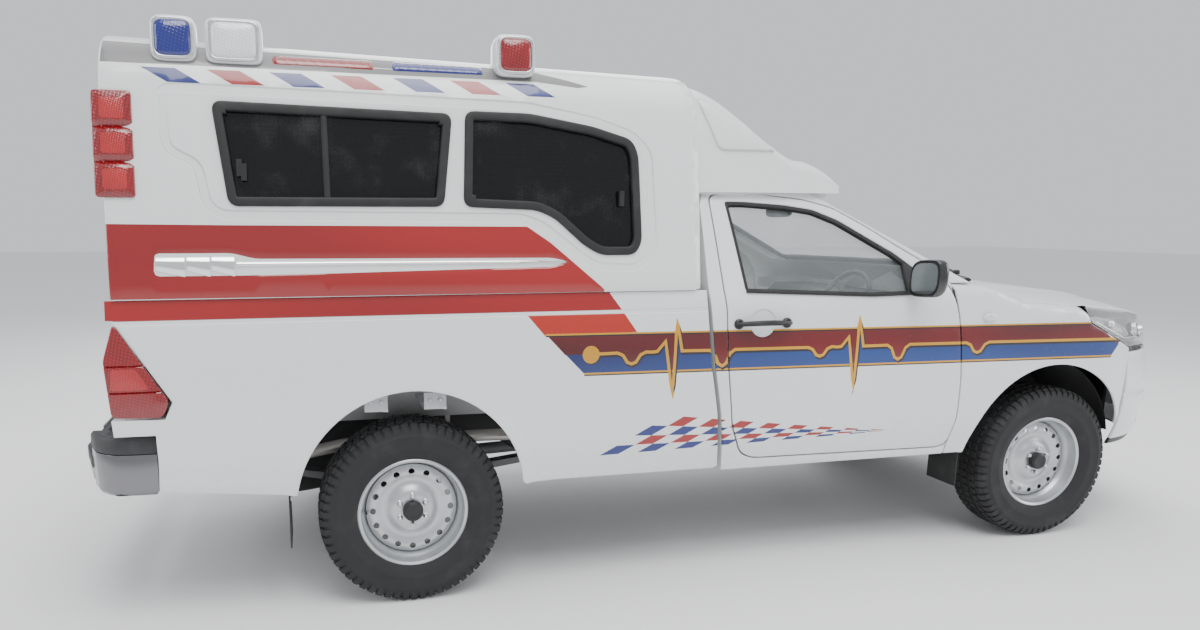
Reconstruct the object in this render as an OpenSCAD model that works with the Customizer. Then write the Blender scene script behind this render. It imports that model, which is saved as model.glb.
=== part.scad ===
// Ambulance built on a single-cab four-wheel-drive pickup with a moulded canopy.
// X points forward, Y to the vehicle's left and Z up. The origin is on the ground
// under the middle of the overall length.

/* [Overall] */
// Distance between the two axles
wheelbase = 3085; // [2900:5:3700]
// Front axle to the foremost point of the front bumper
front_overhang = 995; // [850:5:1150]
// Rear axle to the rearmost point of the rear bumper
rear_overhang = 1255; // [1100:5:1500]
// Width of the body at its widest
body_w = 1800; // [1700:10:2160]
// Height of the cab roof's crown above the ground
cab_h = 1735; // [1700:5:1800]
// Height of the canopy roof's crown above the ground
canopy_h = 2195; // [2120:5:2400]

/* [Wheels] */
// Outer diameter of each tyre
tyre_d = 747; // [700:1:780]
// Width of each tyre
tyre_w = 222; // [190:1:240]
// Diameter of the rim's outer edge
rim_d = 467; // [420:1:490]
// Distance between the front tyres' middles
track_f = 1494; // [1450:2:1540]
// Distance between the rear tyres' middles
track_r = 1510; // [1450:2:1540]
// Round holes near the edge of each wheel disc
vent_count = 16; // [8:1:20]

/* [Panels] */
// Shut line between a moving panel and its neighbours
shut = 6; // [5:0.5:10]
// Thickness of a whole cab door
door_t = 60; // [45:1:70]
// Thickness of the cab's roof and back wall
cab_wall = 36; // [25:1:50]
// Thickness of the bed's walls and floor
bed_wall = 45; // [30:1:60]
// Thickness of the canopy's moulded wall
canopy_wall = 30; // [20:1:45]
// Thickness of the bonnet
bonnet_t = 24; // [15:1:35]
// Thickness of window glass
glass_t = 5; // [4:0.5:8]

/* [Levels] */
// Height of the body's lower edge
sill_z = 460; // [440:5:500]
// Height of the belt line under the windows
belt_z = 1250; // [1230:5:1270]
// Top of the cab's floor
floor_z = 590; // [580:5:620]
// Underside of the bed's floor
bed_z = 700; // [690:5:740]
// Radius of each front wheel arch
arch_r_f = 452; // [440:1:480]
// Radius of each rear wheel arch
arch_r_r = 450; // [430:1:480]

/* [Chassis] */
// Width of a frame rail
rail_w = 70; // [50:1:90]
// Height of a frame rail
rail_h = 130; // [100:1:150]
// Distance from the middle of the vehicle to the outside of a rail
rail_out = 395; // [360:1:410]
// Radius of the tow bar's ball pin hole
hitch_r = 11; // [8:0.5:16]
// Steering pin's distance inboard of the tyre's middle
king_in = 80; // [60:1:100]

/* [Interior] */
// Diameter of the steering wheel
wheel_d = 380; // [350:5:400]
// Length of the attendant's bench
bench_l = 1150; // [900:10:1300]

/* [Hidden] */

$fn = 48;
fit = 0.3;
glaze = 0.7;
eps = 0.01;
half_w = body_w / 2;
length = wheelbase + front_overhang + rear_overhang;
rx = rear_overhang - length / 2;
fx = rx + wheelbase;
axle_z = tyre_d / 2;
tail_x = rx - 1050;
cab_back = fx - 1838;
cab_front = fx - 250;
wing_t = 26;
bed_front = cab_back - 18;
canopy_front = cab_back - 38;
rim_seat = rim_d - 36;

// Amount that the side of the body lies inside its widest point, by height
tuck = [[430, 58], [520, 34], [600, 15], [700, 4], [800, 0], [1000, 1], [1100, 8],
    [1180, 15], [1250, 26]];
function side_y(z) = half_w - lookup(z, tuck);

// Points on a side profile, turned into a closed section about the middle plane
function both(pts) = concat(pts, [for (i = [len(pts) - 1:-1:0]) [-pts[i][0], pts[i][1]]]);

// Corners of an outline, each replaced by a short curve that starts r away from it
function step(a, b, r) = a + (b - a) * min(r / norm(b - a), 0.45);
function soft(pts, r, n = 4) = let (m = len(pts)) [for (i = [0:m - 1])
    let (p = pts[i], a = step(p, pts[(i + m - 1) % m], r), b = step(p, pts[(i + 1) % m], r))
        for (k = [0:n]) let (u = k / n) a * (1 - u) * (1 - u) + p * 2 * u * (1 - u) + b * u * u];

// An outline moved along X
function at_x(x, pts) = [for (p = pts) [p[0] + x, p[1]]];

// An outline made larger by g, measured square to each edge (points run clockwise)
function unit(v) = v / norm(v);
function grow(pts, g) = let (m = len(pts)) [for (i = [0:m - 1])
    let (p = pts[i], d = unit(p - pts[(i + m - 1) % m]), e = unit(pts[(i + 1) % m] - p),
        nd = [-d[1], d[0]], ne = [-e[1], e[0]], s = nd + ne)
        p + s * g / (1 + nd * ne)];

module along_x(x0, x1)
    translate([x0, 0, 0]) rotate([90, 0, 90]) linear_extrude(x1 - x0) children();
module along_y(y0, y1)
    translate([0, y1, 0]) rotate([90, 0, 0]) linear_extrude(y1 - y0) children();
module along_z(z0, z1)
    translate([0, 0, z0]) linear_extrude(z1 - z0) children();
module left_right() {
    children();
    mirror([0, 1, 0]) children();
}
module box(x0, x1, y0, y1, z0, z1)
    translate([x0, y0, z0]) cube([x1 - x0, y1 - y0, z1 - z0]);
module rod(a, b, r)
    let (d = b - a)
        translate(a) rotate([0, acos(d[2] / norm(d)), atan2(d[1], d[0])])
            cylinder(h = norm(d), r = r);

// A closed thick panel between two grids of points with the same rows and columns
module panel(outer, inner) {
    rows = len(outer);
    cols = len(outer[0]);
    size = rows * cols;
    function id(i, j) = i * cols + j;
    quads = [for (i = [0:rows - 2], j = [0:cols - 2])
        [id(i, j), id(i, j + 1), id(i + 1, j + 1), id(i + 1, j)]];
    front = [for (q = quads, t = [[0, 1, 2], [0, 2, 3]]) [q[t[0]], q[t[1]], q[t[2]]]];
    back = [for (f = front) [f[2] + size, f[1] + size, f[0] + size]];
    rim = concat([for (j = [0:cols - 1]) id(0, j)], [for (i = [1:rows - 1]) id(i, cols - 1)],
        [for (j = [cols - 2:-1:0]) id(rows - 1, j)], [for (i = [rows - 2:-1:1]) id(i, 0)]);
    m = len(rim);
    edge = [for (k = [0:m - 1]) let (a = rim[k], b = rim[(k + 1) % m])
        each [[b, a, a + size], [b, a + size, b + size]]];
    polyhedron(concat([for (row = outer) each row], [for (row = inner) each row]),
        concat(front, back, edge), convexity = 8);
}

// ---- Outlines, as [X, Z]; the cab's are measured from the front axle ----

door_line = [[-1765, 1640], [-1700, 1650], [-1505, 1646], [-1312, 1627], [-1177, 1592],
    [-1025, 1510], [-870, 1415], [-735, 1338], [-650, 1238], [-612, 1108], [-583, 838],
    [-577, 640], [-598, 518], [-640, 500], [-1600, 512], [-1662, 540], [-1715, 665],
    [-1752, 950], [-1765, 1240]];
window_line = [[-1697, 1618], [-1600, 1617], [-1408, 1604], [-1275, 1585], [-1158, 1540],
    [-1025, 1463], [-908, 1396], [-831, 1338], [-770, 1290], [-757, 1219], [-1062, 1214],
    [-1668, 1240]];
door_outline = at_x(fx, soft(door_line, 30, 2));
window_outline = at_x(fx, soft(window_line, 14, 2));

// ---- Wheels ----

module wheel_at(x, y) {
    translate([x, y, axle_z]) rotate([0, 0, y < 0 ? 180 : 0]) rotate([-90, 0, 0]) children();
}

// The wheel's axis is Z here, with the outside of the vehicle at +Z
module tyre() {
    bead = rim_seat / 2;
    out = tyre_d / 2;
    w = tyre_w / 2;
    wall = (out - bead) / 2;
    rotate_extrude($fn = 96) polygon([[bead, -w * 0.72], [bead + wall * 0.6, -w * 0.97],
        [bead + wall, -w], [out - 22, -w * 0.93], [out - 6, -w * 0.8], [out, -w * 0.6],
        [out, w * 0.6], [out - 6, w * 0.8], [out - 22, w * 0.93], [bead + wall, w],
        [bead + wall * 0.6, w * 0.97], [bead, w * 0.72]]);
}

rim_half = tyre_w * 0.36 - 1;
disc_out = 38;
hub_r = 55;

module rim() {
    seat = rim_seat / 2 - fit;
    well = seat - 32;
    difference() {
        union() {
            rotate_extrude($fn = 96) polygon([[seat - 6, -rim_half], [seat, -rim_half],
                [seat, -rim_half + 34], [well + 6, -rim_half + 54], [well + 6, 10], [seat, 34],
                [seat, rim_half], [seat - 6, rim_half], [seat - 6, 40], [well, 14],
                [well, -rim_half + 54], [seat - 6, -rim_half + 30]]);
            rotate_extrude($fn = 96) polygon([[32, disc_out + 8], [80, disc_out + 8],
                [118, disc_out - 14], [150, disc_out - 2], [well - 8, disc_out - 8],
                [well + 3, 20], [well + 3, 12], [well - 12, disc_out - 16], [150, disc_out - 10],
                [118, disc_out - 22], [80, disc_out], [32, disc_out]]);
            cylinder(h = disc_out, r = hub_r);
            translate([0, 0, disc_out - 2]) cylinder(h = 34, r = 40);
        }
        for (i = [0:vent_count - 1]) rotate([0, 0, i * 360 / vent_count])
            translate([well - 28, 0, 0]) cylinder(h = disc_out * 2, r = 11, $fn = 24);
        translate([0, 0, -eps]) cylinder(h = 20, r = 32 + fit);
    }
}

module tyre_rear_left() color("#1c1c1e") wheel_at(rx, track_r / 2) tyre();
module tyre_rear_right() color("#1c1c1e") wheel_at(rx, -track_r / 2) tyre();
module rim_front_left() color("silver") wheel_at(fx, track_f / 2) rim();
module rim_front_right() color("silver") wheel_at(fx, -track_f / 2) rim();
module rim_rear_left() color("silver") wheel_at(rx, track_r / 2) rim();
module rim_rear_right() color("silver") wheel_at(rx, -track_r / 2) rim();

// ---- Chassis ----

rail_in = rail_out - rail_w;
rail_lo = 410;
rail_front = fx + 600;
rail_tail = rx - 990;
cab_floor = floor_z - 30;

function rail_line() = let (h = rail_h, top = bed_z, lo = rail_lo)
    [[rail_tail, top], [rx + 420, top], [rx + 640, lo + h], [fx - 560, lo + h],
     [fx - 380, lo + h + 40], [fx + 330, lo + h + 40], [rail_front, lo + h + 20],
     [rail_front, lo + 20], [fx + 330, lo + 40], [fx - 380, lo + 40], [fx - 560, lo],
     [rx + 640, lo], [rx + 400, top - h], [rail_tail, top - h]];

cross_h = 60;
cross_x = [rail_tail + 60, rx - 420, rx + 500, fx - 1500, fx - 1000, rail_front - 60];
cross_z = [bed_z - 110, bed_z - 110, 560, rail_lo + 70, rail_lo + 70, rail_lo + 40];
mount_x = [fx - 1700, fx - 700];

module chassis_frame() color("#2b2b2d") {
    difference() {
        union() {
            left_right() along_y(rail_in, rail_out) polygon(rail_line());
            for (i = [0:len(cross_x) - 1])
                box(cross_x[i] - 40, cross_x[i] + 40, -rail_in - 5, rail_in + 5,
                    cross_z[i], cross_z[i] + cross_h);
            left_right() for (x = mount_x)
                translate([x, (rail_in + rail_out) / 2, rail_lo + rail_h - 5])
                    cylinder(h = cab_floor - rail_lo - rail_h + 5, r = 32);
            box(hitch_x - 62, rail_tail + 80, -38, 38, hitch_z - 24, hitch_z);
            box(rail_tail + 20, rail_tail + 80, -38, 38, hitch_z - 24, bed_z - 100);
        }
        translate([hitch_x - 25, 0, hitch_z - 40]) cylinder(h = 60, r = hitch_r);
    }
}
hitch_x = rail_tail - 150;
hitch_z = 470;

// ---- Cab ----

roof_edge = half_w - 262;
levels = [sill_z, 520, 600, 700, 800, 1000, 1100, 1180];
function cab_side(t) = concat([for (z = levels) [side_y(z) - t, z]],
    [[side_y(belt_z) - 18 - t, belt_z], [half_w - 235 - t, cab_h - 85],
    [half_w - 268 - t, cab_h - 52 - t * 0.3], [half_w - 350 - t, cab_h - 28 - t * 0.45],
    [half_w - 600 - t, cab_h - 6 - t * 0.45], [0, cab_h - t * 0.45]]);

// The cab's back and the bed's front lean forward by this much towards the sill
function lean(z) = lookup(z, [[sill_z, 98], [730, 63], [930, 26], [1170, 4], [belt_z, 0]]);

// Side view of the cab, t inside its outer skin
function cab_line(t) = [[cab_back + lean(sill_z) + t, sill_z], [cab_back + lean(730) + t, 730],
    [cab_back + lean(930) + t, 930], [cab_back + t, belt_z],
    [cab_back + 22 + t, 1600], [cab_back + 70 + t, cab_h - 8 - t], [fx - 1155, cab_h - t],
    [fx - 1155, cab_h + 20], [cab_front - t, cab_h + 20], [cab_front - t, cowl_z - t],
    [cab_front - t, 900], [fx - 490 - t, cab_floor], [fx - 490 - t, sill_z]];
cowl_z = 1262;

// The windscreen is a slice of a large cylinder that leans with the screen
screen_r = 2600;
screen_top = [fx - 1155, cab_h - 35];
screen_foot = [fx - 225, 1275];
screen_tilt = atan2(screen_foot[0] - screen_top[0], screen_top[1] - screen_foot[1]);
screen_side = [[fx - 1130, cab_h - 80], [fx - 1010, cab_h + 20], [fx, cab_h + 20], [fx, 1300],
    [fx - 1000, 1300]];
function screen_face(g) = soft(both([[roof_edge + 72 - g, 1262 + g],
    [roof_edge - 28 - g, cab_h - 95 - g]]), 60);
function back_face(g) = soft(both([[640 - g, belt_z + 60 + g], [560 - g, 1610 - g]]), 60);
module screen_solid(t)
    translate([screen_top[0], 0, screen_top[1]]) rotate([0, -screen_tilt, 0])
        translate([-screen_r, 0, -3000]) cylinder(h = 5000, r = screen_r - t, $fn = 128);

module cab_block(t)
    intersection() {
        along_x(cab_back - 10, fx) polygon(both(cab_side(t)));
        along_y(-half_w - 10, half_w + 10) polygon(cab_line(t));
        screen_solid(t);
    }

side_wall = door_t + 25;
module cab_space()
    intersection() {
        along_x(cab_back, fx) polygon(both(cab_side(side_wall)));
        along_y(-half_w, half_w)
            polygon([[cab_back + lean(floor_z) + cab_wall, floor_z],
                [cab_back + lean(930) + cab_wall, 930], [cab_back + 30 + cab_wall, 1600],
                [cab_back + 90 + cab_wall, cab_h - cab_wall], [fx - 1190, cab_h - cab_wall],
                [fx - 1190, cab_h + 20], [cab_front - 45, cab_h + 20],
                [cab_front - 45, cowl_z - 60], [cab_front - 45, 925], [fx - 540, floor_z]]);
        union() {
            screen_solid(45);
            along_y(-half_w, half_w) polygon([[cab_back, 500], [cab_back, 1200],
                [cab_front, 1200], [cab_front, 500]]);
        }
    }

// Ring between two depths of the cab's side, seen from the front
module cab_layer(t0, t1, line, x0 = cab_back, x1 = fx)
    intersection() {
        difference() {
            along_x(x0, x1) polygon(both(cab_side(t0)));
            along_x(x0 - 1, x1 + 1) polygon(both(cab_side(t1)));
        }
        along_y(0, half_w + 60) polygon(line);
    }

// Rubber seal that a closed door rests on
module door_seal()
    intersection() {
        cab_layer(door_t + fit, door_t + 8, at_x(fx, grow(door_line, -24)));
        difference() {
            box(cab_back, fx, 0, half_w, sill_z, cab_h);
            along_y(-1, half_w + 1) polygon(at_x(fx, grow(door_line, -33)));
        }
    }
module cab_shell() color("white") {
    left_right() door_seal();
    difference() {
        cab_block(0);
        cab_space();
        // door rebates and apertures
        left_right() cab_layer(-40, door_t + 6, at_x(fx, soft(grow(door_line, shut), 30, 2)));
        left_right() along_y(300, half_w + 40)
            polygon(at_x(fx, grow(concat([for (i = [0:9]) door_line[i]],
                [[-583, 900], [-600, 660], [-1690, 660], [-1752, 950], [-1765, 1240]]), -34)));
        // windscreen opening
        intersection() {
            screen_solid(-30);
            along_x(fx - 1200, fx) polygon(screen_face(0));
            along_y(-half_w, half_w) polygon(screen_side);
        }
        // back window opening
        along_x(cab_back - 20, cab_back + 150) polygon(back_face(0));
        // seats for the wings and room for the bonnet
        left_right() cab_layer(-40, wing_t + 4, at_x(fx, [[-640, cowl_z + 1], [-200, cowl_z + 1],
            [-200, sill_z - 20], [-600, sill_z - 20], [-590, 900]]));
        left_right() box(fx - 640, fx, half_w - seam_in - 4, half_w + 10, 1120, cowl_z + 1);
        along_z(cowl_z - 85, cowl_z + 60) polygon(concat([for (k = [-8:8]) let (u = k / 8)
            [fx + bonnet_back(u) - shut - 2, u * (half_w - seam_in + 2)]],
            [[fx, half_w], [fx, -half_w]]));
        // under the floor, between the sills
        box(cab_back - 10, fx - 400, -half_w + 190, half_w - 190, sill_z - 20, cab_floor);
    }
}

module cab_glass() color("#8fa3a8", 0.5) {
    intersection() {
        difference() {
            screen_solid(8);
            screen_solid(8 + glass_t);
        }
        along_x(fx - 1200, fx) polygon(screen_face(glaze));
        along_y(-half_w, half_w) polygon(grow(screen_side, -glaze));
    }
    along_x(cab_back + 48, cab_back + 48 + glass_t) polygon(back_face(glaze));
}

// ---- Doors (left side; the right one is its mirror image) ----

door_skin = 20;
module door() {
    difference() {
        union() {
            cab_layer(0, door_skin, door_outline);
            cab_layer(door_skin - 1, door_t, at_x(fx, soft(grow(door_line, -22), 20, 2)));
        }
        along_y(0, half_w + 60) polygon(window_outline);
    }
}
sail_x = fx - 862;
module door_glass()
    cab_layer(26, 26 + glass_t, at_x(fx, soft(grow(window_line, -fit), 14, 2)),
        x1 = sail_x - fit);

module mirror_unit() {
    y0 = side_y(belt_z) - 18;
    along_x(fx - 905, fx - 850) polygon(soft([[y0 + 62, 1215], [y0 + 48, 1330],
        [y0 + 75, 1372], [y0 + 205, 1378], [y0 + 232, 1350], [y0 + 222, 1235],
        [y0 + 190, 1208]], 20));
    cab_layer(8, 30, at_x(fx, soft(grow(window_line, -fit), 14, 2)), x0 = sail_x);
    rod([fx - 800, y0 - 30, 1262], [fx - 878, y0 + 90, 1275], 17);
}
module door_left() color("white") door();
module door_right() color("white") mirror([0, 1, 0]) door();
module door_glass_left() color("#8fa3a8", 0.5) door_glass();
module door_glass_right() color("#8fa3a8", 0.5) mirror([0, 1, 0]) door_glass();
module mirror_left() color("#1b1b1d") mirror_unit();
module mirror_right() color("#1b1b1d") mirror([0, 1, 0]) mirror_unit();

// ---- Nose ----

nose_x = 170;
nose_l = front_overhang - nose_x;
// How far the front lies behind its foremost point, by height
rake = [[430, 62], [480, 16], [530, 0], [560, 0], [740, 6], [860, 48], [930, 88], [1000, 120],
    [1060, 165], [1120, 260]];
function nose(t, z, d = 0) = let (a = nose_l - lookup(z, rake) - d, b = side_y(z) - d)
    [fx + nose_x + a * pow(max(cos(t), 0), 0.77), b * sign(t) * pow(abs(sin(t)), 1), z];

// Height of the bonnet's middle and of its side seam, by distance from the front axle
ridge = [[-470, 1285], [-270, 1262], [-85, 1243], [165, 1212], [495, 1170], [700, 1130],
    [830, 1075], [880, 1035]];
seam = [[-470, 1250], [-385, 1232], [-300, 1200], [-215, 1172], [-65, 1156], [90, 1142],
    [300, 1122], [500, 1098], [700, 1062], [830, 1020], [880, 1000]];
seam_in = 96;
function plan_y(x) = x <= nose_x ? half_w
    : let (u = min((x - nose_x) / (nose_l - 110), 1)) half_w * sqrt(max(1 - pow(u, 2.6), 0));
function bonnet_y(x) = (half_w - seam_in) * (x <= 60 ? 1
    : sqrt(max(1 - pow((x - 60) / 870, 3.2), 0.0)));
function bonnet_top(x, u) = let (c = lookup(x, ridge), s = lookup(x, seam))
    c - (c - s) * pow(abs(u), 2.2);

// Back edge of the bonnet in plan, with u from -1 to 1 across it
function bonnet_back(u) = -215 - 190 * u * u;
module bonnet() color("white") {
    n = 14;
    grid = [for (i = [0:n]) [for (k = [-8:8])
        let (u = k / 8, x0 = bonnet_back(u), x1 = 850 - 90 * u * u, x = x0 + (x1 - x0) * i / n)
            [fx + x, bonnet_y(x) * u, bonnet_top(x, u)]]];
    under = [for (row = grid) [for (p = row) p - [0, 0, bonnet_t]]];
    panel(under, grid);
}

// Wings: an upright wall whose shoulder rolls in to the bonnet's seam
arch_z = 420;
arch_x = fx - 40;
lamp_line = [[88, 1300], [88, 1141], [130, 1062], [265, 994], [385, 938], [450, 915],
    [450, 1300]];
function wing_row(x, d) = let (top = lookup(x, seam) - 1, w = plan_y(x))
    concat([for (z = [sill_z, 520, 600, 700, 800, 1000]) [fx + x, w - lookup(z, tuck) - d, z]],
        [[fx + x, w - lookup(top - 40, tuck) - d, top - 40 - d]],
        [[fx + x, w - 16 - d, top - 14 - d], [fx + x, w - 34 - d, top - 3 - d],
         [fx + x, bonnet_y(x) + shut, top - d]]);
module wing() {
    xs = [-640, -560, -480, -400, -300, -200, -100, 0, 90, 180, 260, 330, 392];
    difference() {
        panel([for (x = xs) wing_row(x, 0)], [for (x = xs) wing_row(x, wing_t)]);
        translate([arch_x, 0, arch_z]) rotate([-90, 0, 0])
            cylinder(h = half_w + 50, r = arch_r_f, $fn = 96);
        box(arch_x - arch_r_f, arch_x + arch_r_f, 0, half_w + 50, 300, arch_z);
        along_y(0, half_w + 50) polygon(at_x(fx, lamp_line));
        along_y(0, half_w + 50) polygon(at_x(fx, [[-700, 1400], [-644, 1270], [-606, 1110],
            [-577, 840], [-571, 640], [-592, 512], [-592, 400], [-700, 400]]));
    }
}
module front_fenders() color("white") left_right() wing();

module nose_band(t0, t1, z0, z1, d, nt = 20, nz = 5)
    panel([for (i = [0:nt]) [for (j = [0:nz]) let (t = t0 + (t1 - t0) * i / nt)
            nose(t, z0 + (z1 - z0) * j / nz, 0)]],
        [for (i = [0:nt]) [for (j = [0:nz]) let (t = t0 + (t1 - t0) * i / nt)
            nose(t, z0 + (z1 - z0) * j / nz, d)]]);

bumper_top = 915;
panel_front = fx + 600;
strut_tip = nose(asin(rail_out / side_y(500)), 500, 30)[0];
module front_bumper() color("white") {
    intersection() {
        nose_band(-84, 84, 425, bumper_top, 45, 32, 8);
        box(fx + 398, fx + 1100, -half_w, half_w, 400, 1000);
    }
    left_right() box(panel_front + 20, strut_tip, rail_in + 5, rail_out - 5, 470, 530);
}
module grille() color("#8d9196") nose_band(-33, 33, bumper_top + fit, 1030, 40, 12, 3);

// Each headlamp sweeps back from the grille along the bonnet's edge to a point
lamp_foot = [[88, 1136], [130, 1062], [265, 994], [385, 938], [470, bumper_top + 1]];
function lamp_top(s) = let (x = 96 + 690 * s) [fx + x, bonnet_y(x) + shut + 2, lookup(x, seam) - 4];
function lamp_low_edge(s) = let (x = 92 + 720 * s, z = lookup(x, lamp_foot) + 4.4)
    s < 0.42 ? [fx + x, plan_y(x) - lookup(z, tuck) - 1, z] : nose(86 - 50 * s, z);
// The housing is shallow at its rear tip, where the wing's edge runs close under it
function lamp_p(s, v, depth) = let (d = min(depth, 8.8 + 400 * s))
    let (u = lamp_top(s), b = lamp_low_edge(s), k = 14 * sin(180 * v), turn = 80 * s)
        u * (1 - v) + b * v + [k, k, k * 0.6]
        + d * (v * [-sin(turn), -cos(turn), 0.1] + (1 - v) * [0, -0.1, -1]);
module headlamps() color("#d8dde0")
    left_right() panel([for (i = [0:14]) [for (j = [0:4]) lamp_p(i / 14, j / 4, 0)]],
        [for (i = [0:14]) [for (j = [0:4]) lamp_p(i / 14, j / 4, 42)]]);

// Inner wings, wheel-arch liners and the panel that carries the radiator
liner_y = [425, 795];
module front_structure() color("#3a3b3e") {
    difference() {
        union() {
            box(panel_front, panel_front + 20, -600, 600, 440, 960);
            left_right() {
                along_y(liner_y[0] - 15, liner_y[0]) polygon([[cab_front, 590],
                    [cab_front, 1150], [fx + 90, 1115], [panel_front, 960], [panel_front, 590]]);
                along_y(liner_y[0] - 15, half_w - 76) polygon(concat(
                    [for (x = [-200, -100, 0, 80]) [fx + x, lookup(x, seam) - 2.7 - wing_t]],
                    [[fx + 80, 1096], [fx - 200, 1096]]));
                translate([arch_x, liner_y[0] - 15, arch_z]) rotate([-90, 0, 0])
                    difference() {
                        cylinder(h = liner_y[1] - liner_y[0] + 15, r = arch_r_f + 14, $fn = 96);
                        translate([0, 0, -1]) cylinder(h = liner_y[1], r = arch_r_f + 8, $fn = 96);
                        translate([-600, 0, -1]) cube([1200, 600, 600]);
                    }
            }
        }
        left_right() box(fx - 75, fx + 75, rail_out - 20, 500, 300, 845);
        left_right() box(fx, fx + 600, liner_y[0], half_w, 300, 505);
        box(fx - 700, cab_front, -half_w, half_w, 300, 1300);
        left_right() box(arch_x - 600, cab_front + 40, liner_y[0] - 20, liner_y[1] + 10, 300, 1300);
    }
}

// ---- Inside the cab ----

column_foot = [fx - 560, -370, 985];
column_dir = [-0.906, 0, 0.423];
wheel_back = 290;
module dashboard() color("#2a2b2e") {
    along_y(-half_w + 150, half_w - 150) polygon([[cab_front - 60, 1150],
        [cab_front - 300, 1150], [cab_front - 370, 1090], [cab_front - 340, 900],
        [cab_front - 60, 930]]);
    rod(column_foot, column_foot + column_dir * wheel_back, 28);
    box(cab_front - 75, cab_front - 45, -300, 300, 940, 1100);
}
module steering_wheel() color("#1d1d1f")
    translate(column_foot + column_dir * (wheel_back + fit)) rotate([0, -65, 0]) {
        translate([0, 0, 34]) rotate_extrude($fn = 72) translate([wheel_d / 2 - 14, 0])
            circle(r = 14, $fn = 24);
        cylinder(h = 40, r = 48);
        for (a = [0, 130, 230]) rotate([0, 0, a])
            translate([30, -16, 22]) cube([wheel_d / 2 - 48, 32, 14]);
    }
seat_y = 365;
module seat(y) {
    along_y(y - 250, y + 250) polygon(soft([[fx - 1070, floor_z], [fx - 1560, floor_z],
        [fx - 1600, floor_z + 270], [fx - 1740, 1400], [fx - 1640, 1430],
        [fx - 1480, floor_z + 330], [fx - 1010, floor_z + 345], [fx - 1000, floor_z + 230]], 25));
    along_y(y - 120, y + 120) polygon(soft([[fx - 1735, 1410], [fx - 1755, 1560],
        [fx - 1690, 1590], [fx - 1655, 1420]], 25));
}
module seats() color("#3b3d42") for (s = [-1, 1]) seat(s * seat_y);

module engine_block() color("#55585c") {
    box(fx - 180, fx + 420, -260, 260, 480, 1050);
    box(fx - 850, fx - 179, -130, 130, 420, cab_floor - 8);
    left_right() box(fx + 60, fx + 160, 259, rail_in, 490, 560);
}

// ---- Bed ----

bed_top = belt_z;
function bed_side(t) = [for (z = [480, 600, 700, 800, 1000, 1100, 1180, 1250])
    [side_y(z) - t, z]];
bed_line = [[rx - 1072, bed_top], [bed_front, bed_top], [bed_front + lean(930), 930],
    [bed_front + lean(730), 730], [bed_front + lean(sill_z + 8), sill_z + 8],
    [rx + 607, sill_z + 16], [rx + 300, sill_z], [rx - 300, sill_z + 8], [rx - 457, 489],
    [rx - 930, 540], [rx - 930, 762], [rx - 1072, 762], [rx - 1078, 830]];
house_in = 565;
arch_zr = 435;
tail_open = 722;
gate_half = tail_open - shut;
bed_floor_t = 35;
lamp_low = [[rx - 1100, 1176], [rx - 1054, 1176], [rx - 874, 883], [rx - 900, 824],
    [rx - 1078, 829], [rx - 1100, 829]];

module side_band(t0, t1, x0, x1, pts)
    intersection() {
        difference() {
            along_x(x0, x1) polygon(both(bed_side(t0)));
            along_x(x0 - 1, x1 + 1) polygon(both(bed_side(t1)));
        }
        along_y(0, half_w + 60) polygon(pts);
    }
module arch(r, y0, y1)
    translate([rx, y0, arch_zr]) rotate([-90, 0, 0]) cylinder(h = y1 - y0, r = r, $fn = 96);

module bed() color("white")
    difference() {
        union() {
            left_right() side_band(0, bed_wall, rx - 1200, fx, bed_line);
            box(tail_x + 40, bed_front - 2, -half_w + bed_wall + 16, half_w - bed_wall - 16,
                bed_z, bed_z + bed_floor_t);
            box(bed_front - bed_wall, bed_front, -half_w + 60, half_w - 60, bed_z, bed_top);
            left_right() {
                box(tail_x - 20, tail_x + 70, tail_open, half_w - 30, 762, bed_top);
                box(tail_x - 10, tail_x + 20, gate_half + fit, tail_open + 5, 1180, 1215);
                arch(arch_r_r + 14, house_in - 14, half_w - bed_wall + 2);
                box(tail_x + 60, bed_front - 10, half_w - 130, half_w - 40, bed_top - 25, bed_top);
            }
        }
        left_right() {
            arch(arch_r_r, house_in, half_w + 20);
            box(rx - arch_r_r - 20, rx + arch_r_r + 20, house_in - 15, half_w - bed_wall + 3, 0, bed_z);
            box(rx - arch_r_r, rx + arch_r_r, house_in, half_w + 20, 0, arch_zr);
            box(rx - arch_r_r - 16, rx + arch_r_r + 16, house_in, half_w - bed_wall + 3, 0, bed_z);
            along_y(735, half_w + 20) polygon(grow(lamp_low, 2));
        }
        box(rx - 600, rx + 600, -half_w, half_w, -100, 300);
    }
module tail_lamps() color("#b3202a")
    left_right() intersection() {
        along_y(735 + fit, half_w + 20) polygon(grow(lamp_low, 2 - fit));
        along_x(rx - 1096, rx) polygon(both(bed_side(-3)));
    }

gate_x = [tail_x - 24, tail_x + 30];
module tailgate() color("white")
    difference() {
        box(gate_x[0], gate_x[1], -gate_half, gate_half, bed_z + 8, bed_top - 2);
        box(gate_x[0] - 10, gate_x[0] + 12, -80, 80, 1130, 1190);
    }

// ---- Canopy ----

canopy_z = bed_top + fit;
roof_pitch = 1.5;
canopy_mid = (tail_x + canopy_front) / 2;
function canopy_side(t) = [[half_w - 14 - t, 1200], [half_w - 18 - t, 1330],
    [half_w - 98 - t, 1940], [half_w - 120 - t, 2030], [half_w - 160 - t, 2090 - t * 0.3],
    [half_w - 215 - t, 2130 - t * 0.6], [half_w - 300 - t, 2158 - t * 0.9],
    [half_w - 550 - t, canopy_h - 10 - t], [0, canopy_h - t]];
module canopy_block(t, x0, x1)
    intersection() {
        translate([canopy_mid, 0, 0]) rotate([0, roof_pitch, 0])
            along_x(-2000, 2000) polygon(both(canopy_side(t)));
        box(x0, x1, -half_w, half_w, canopy_z - (t > 0 ? 20 : 0), canopy_h + 100);
    }

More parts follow.
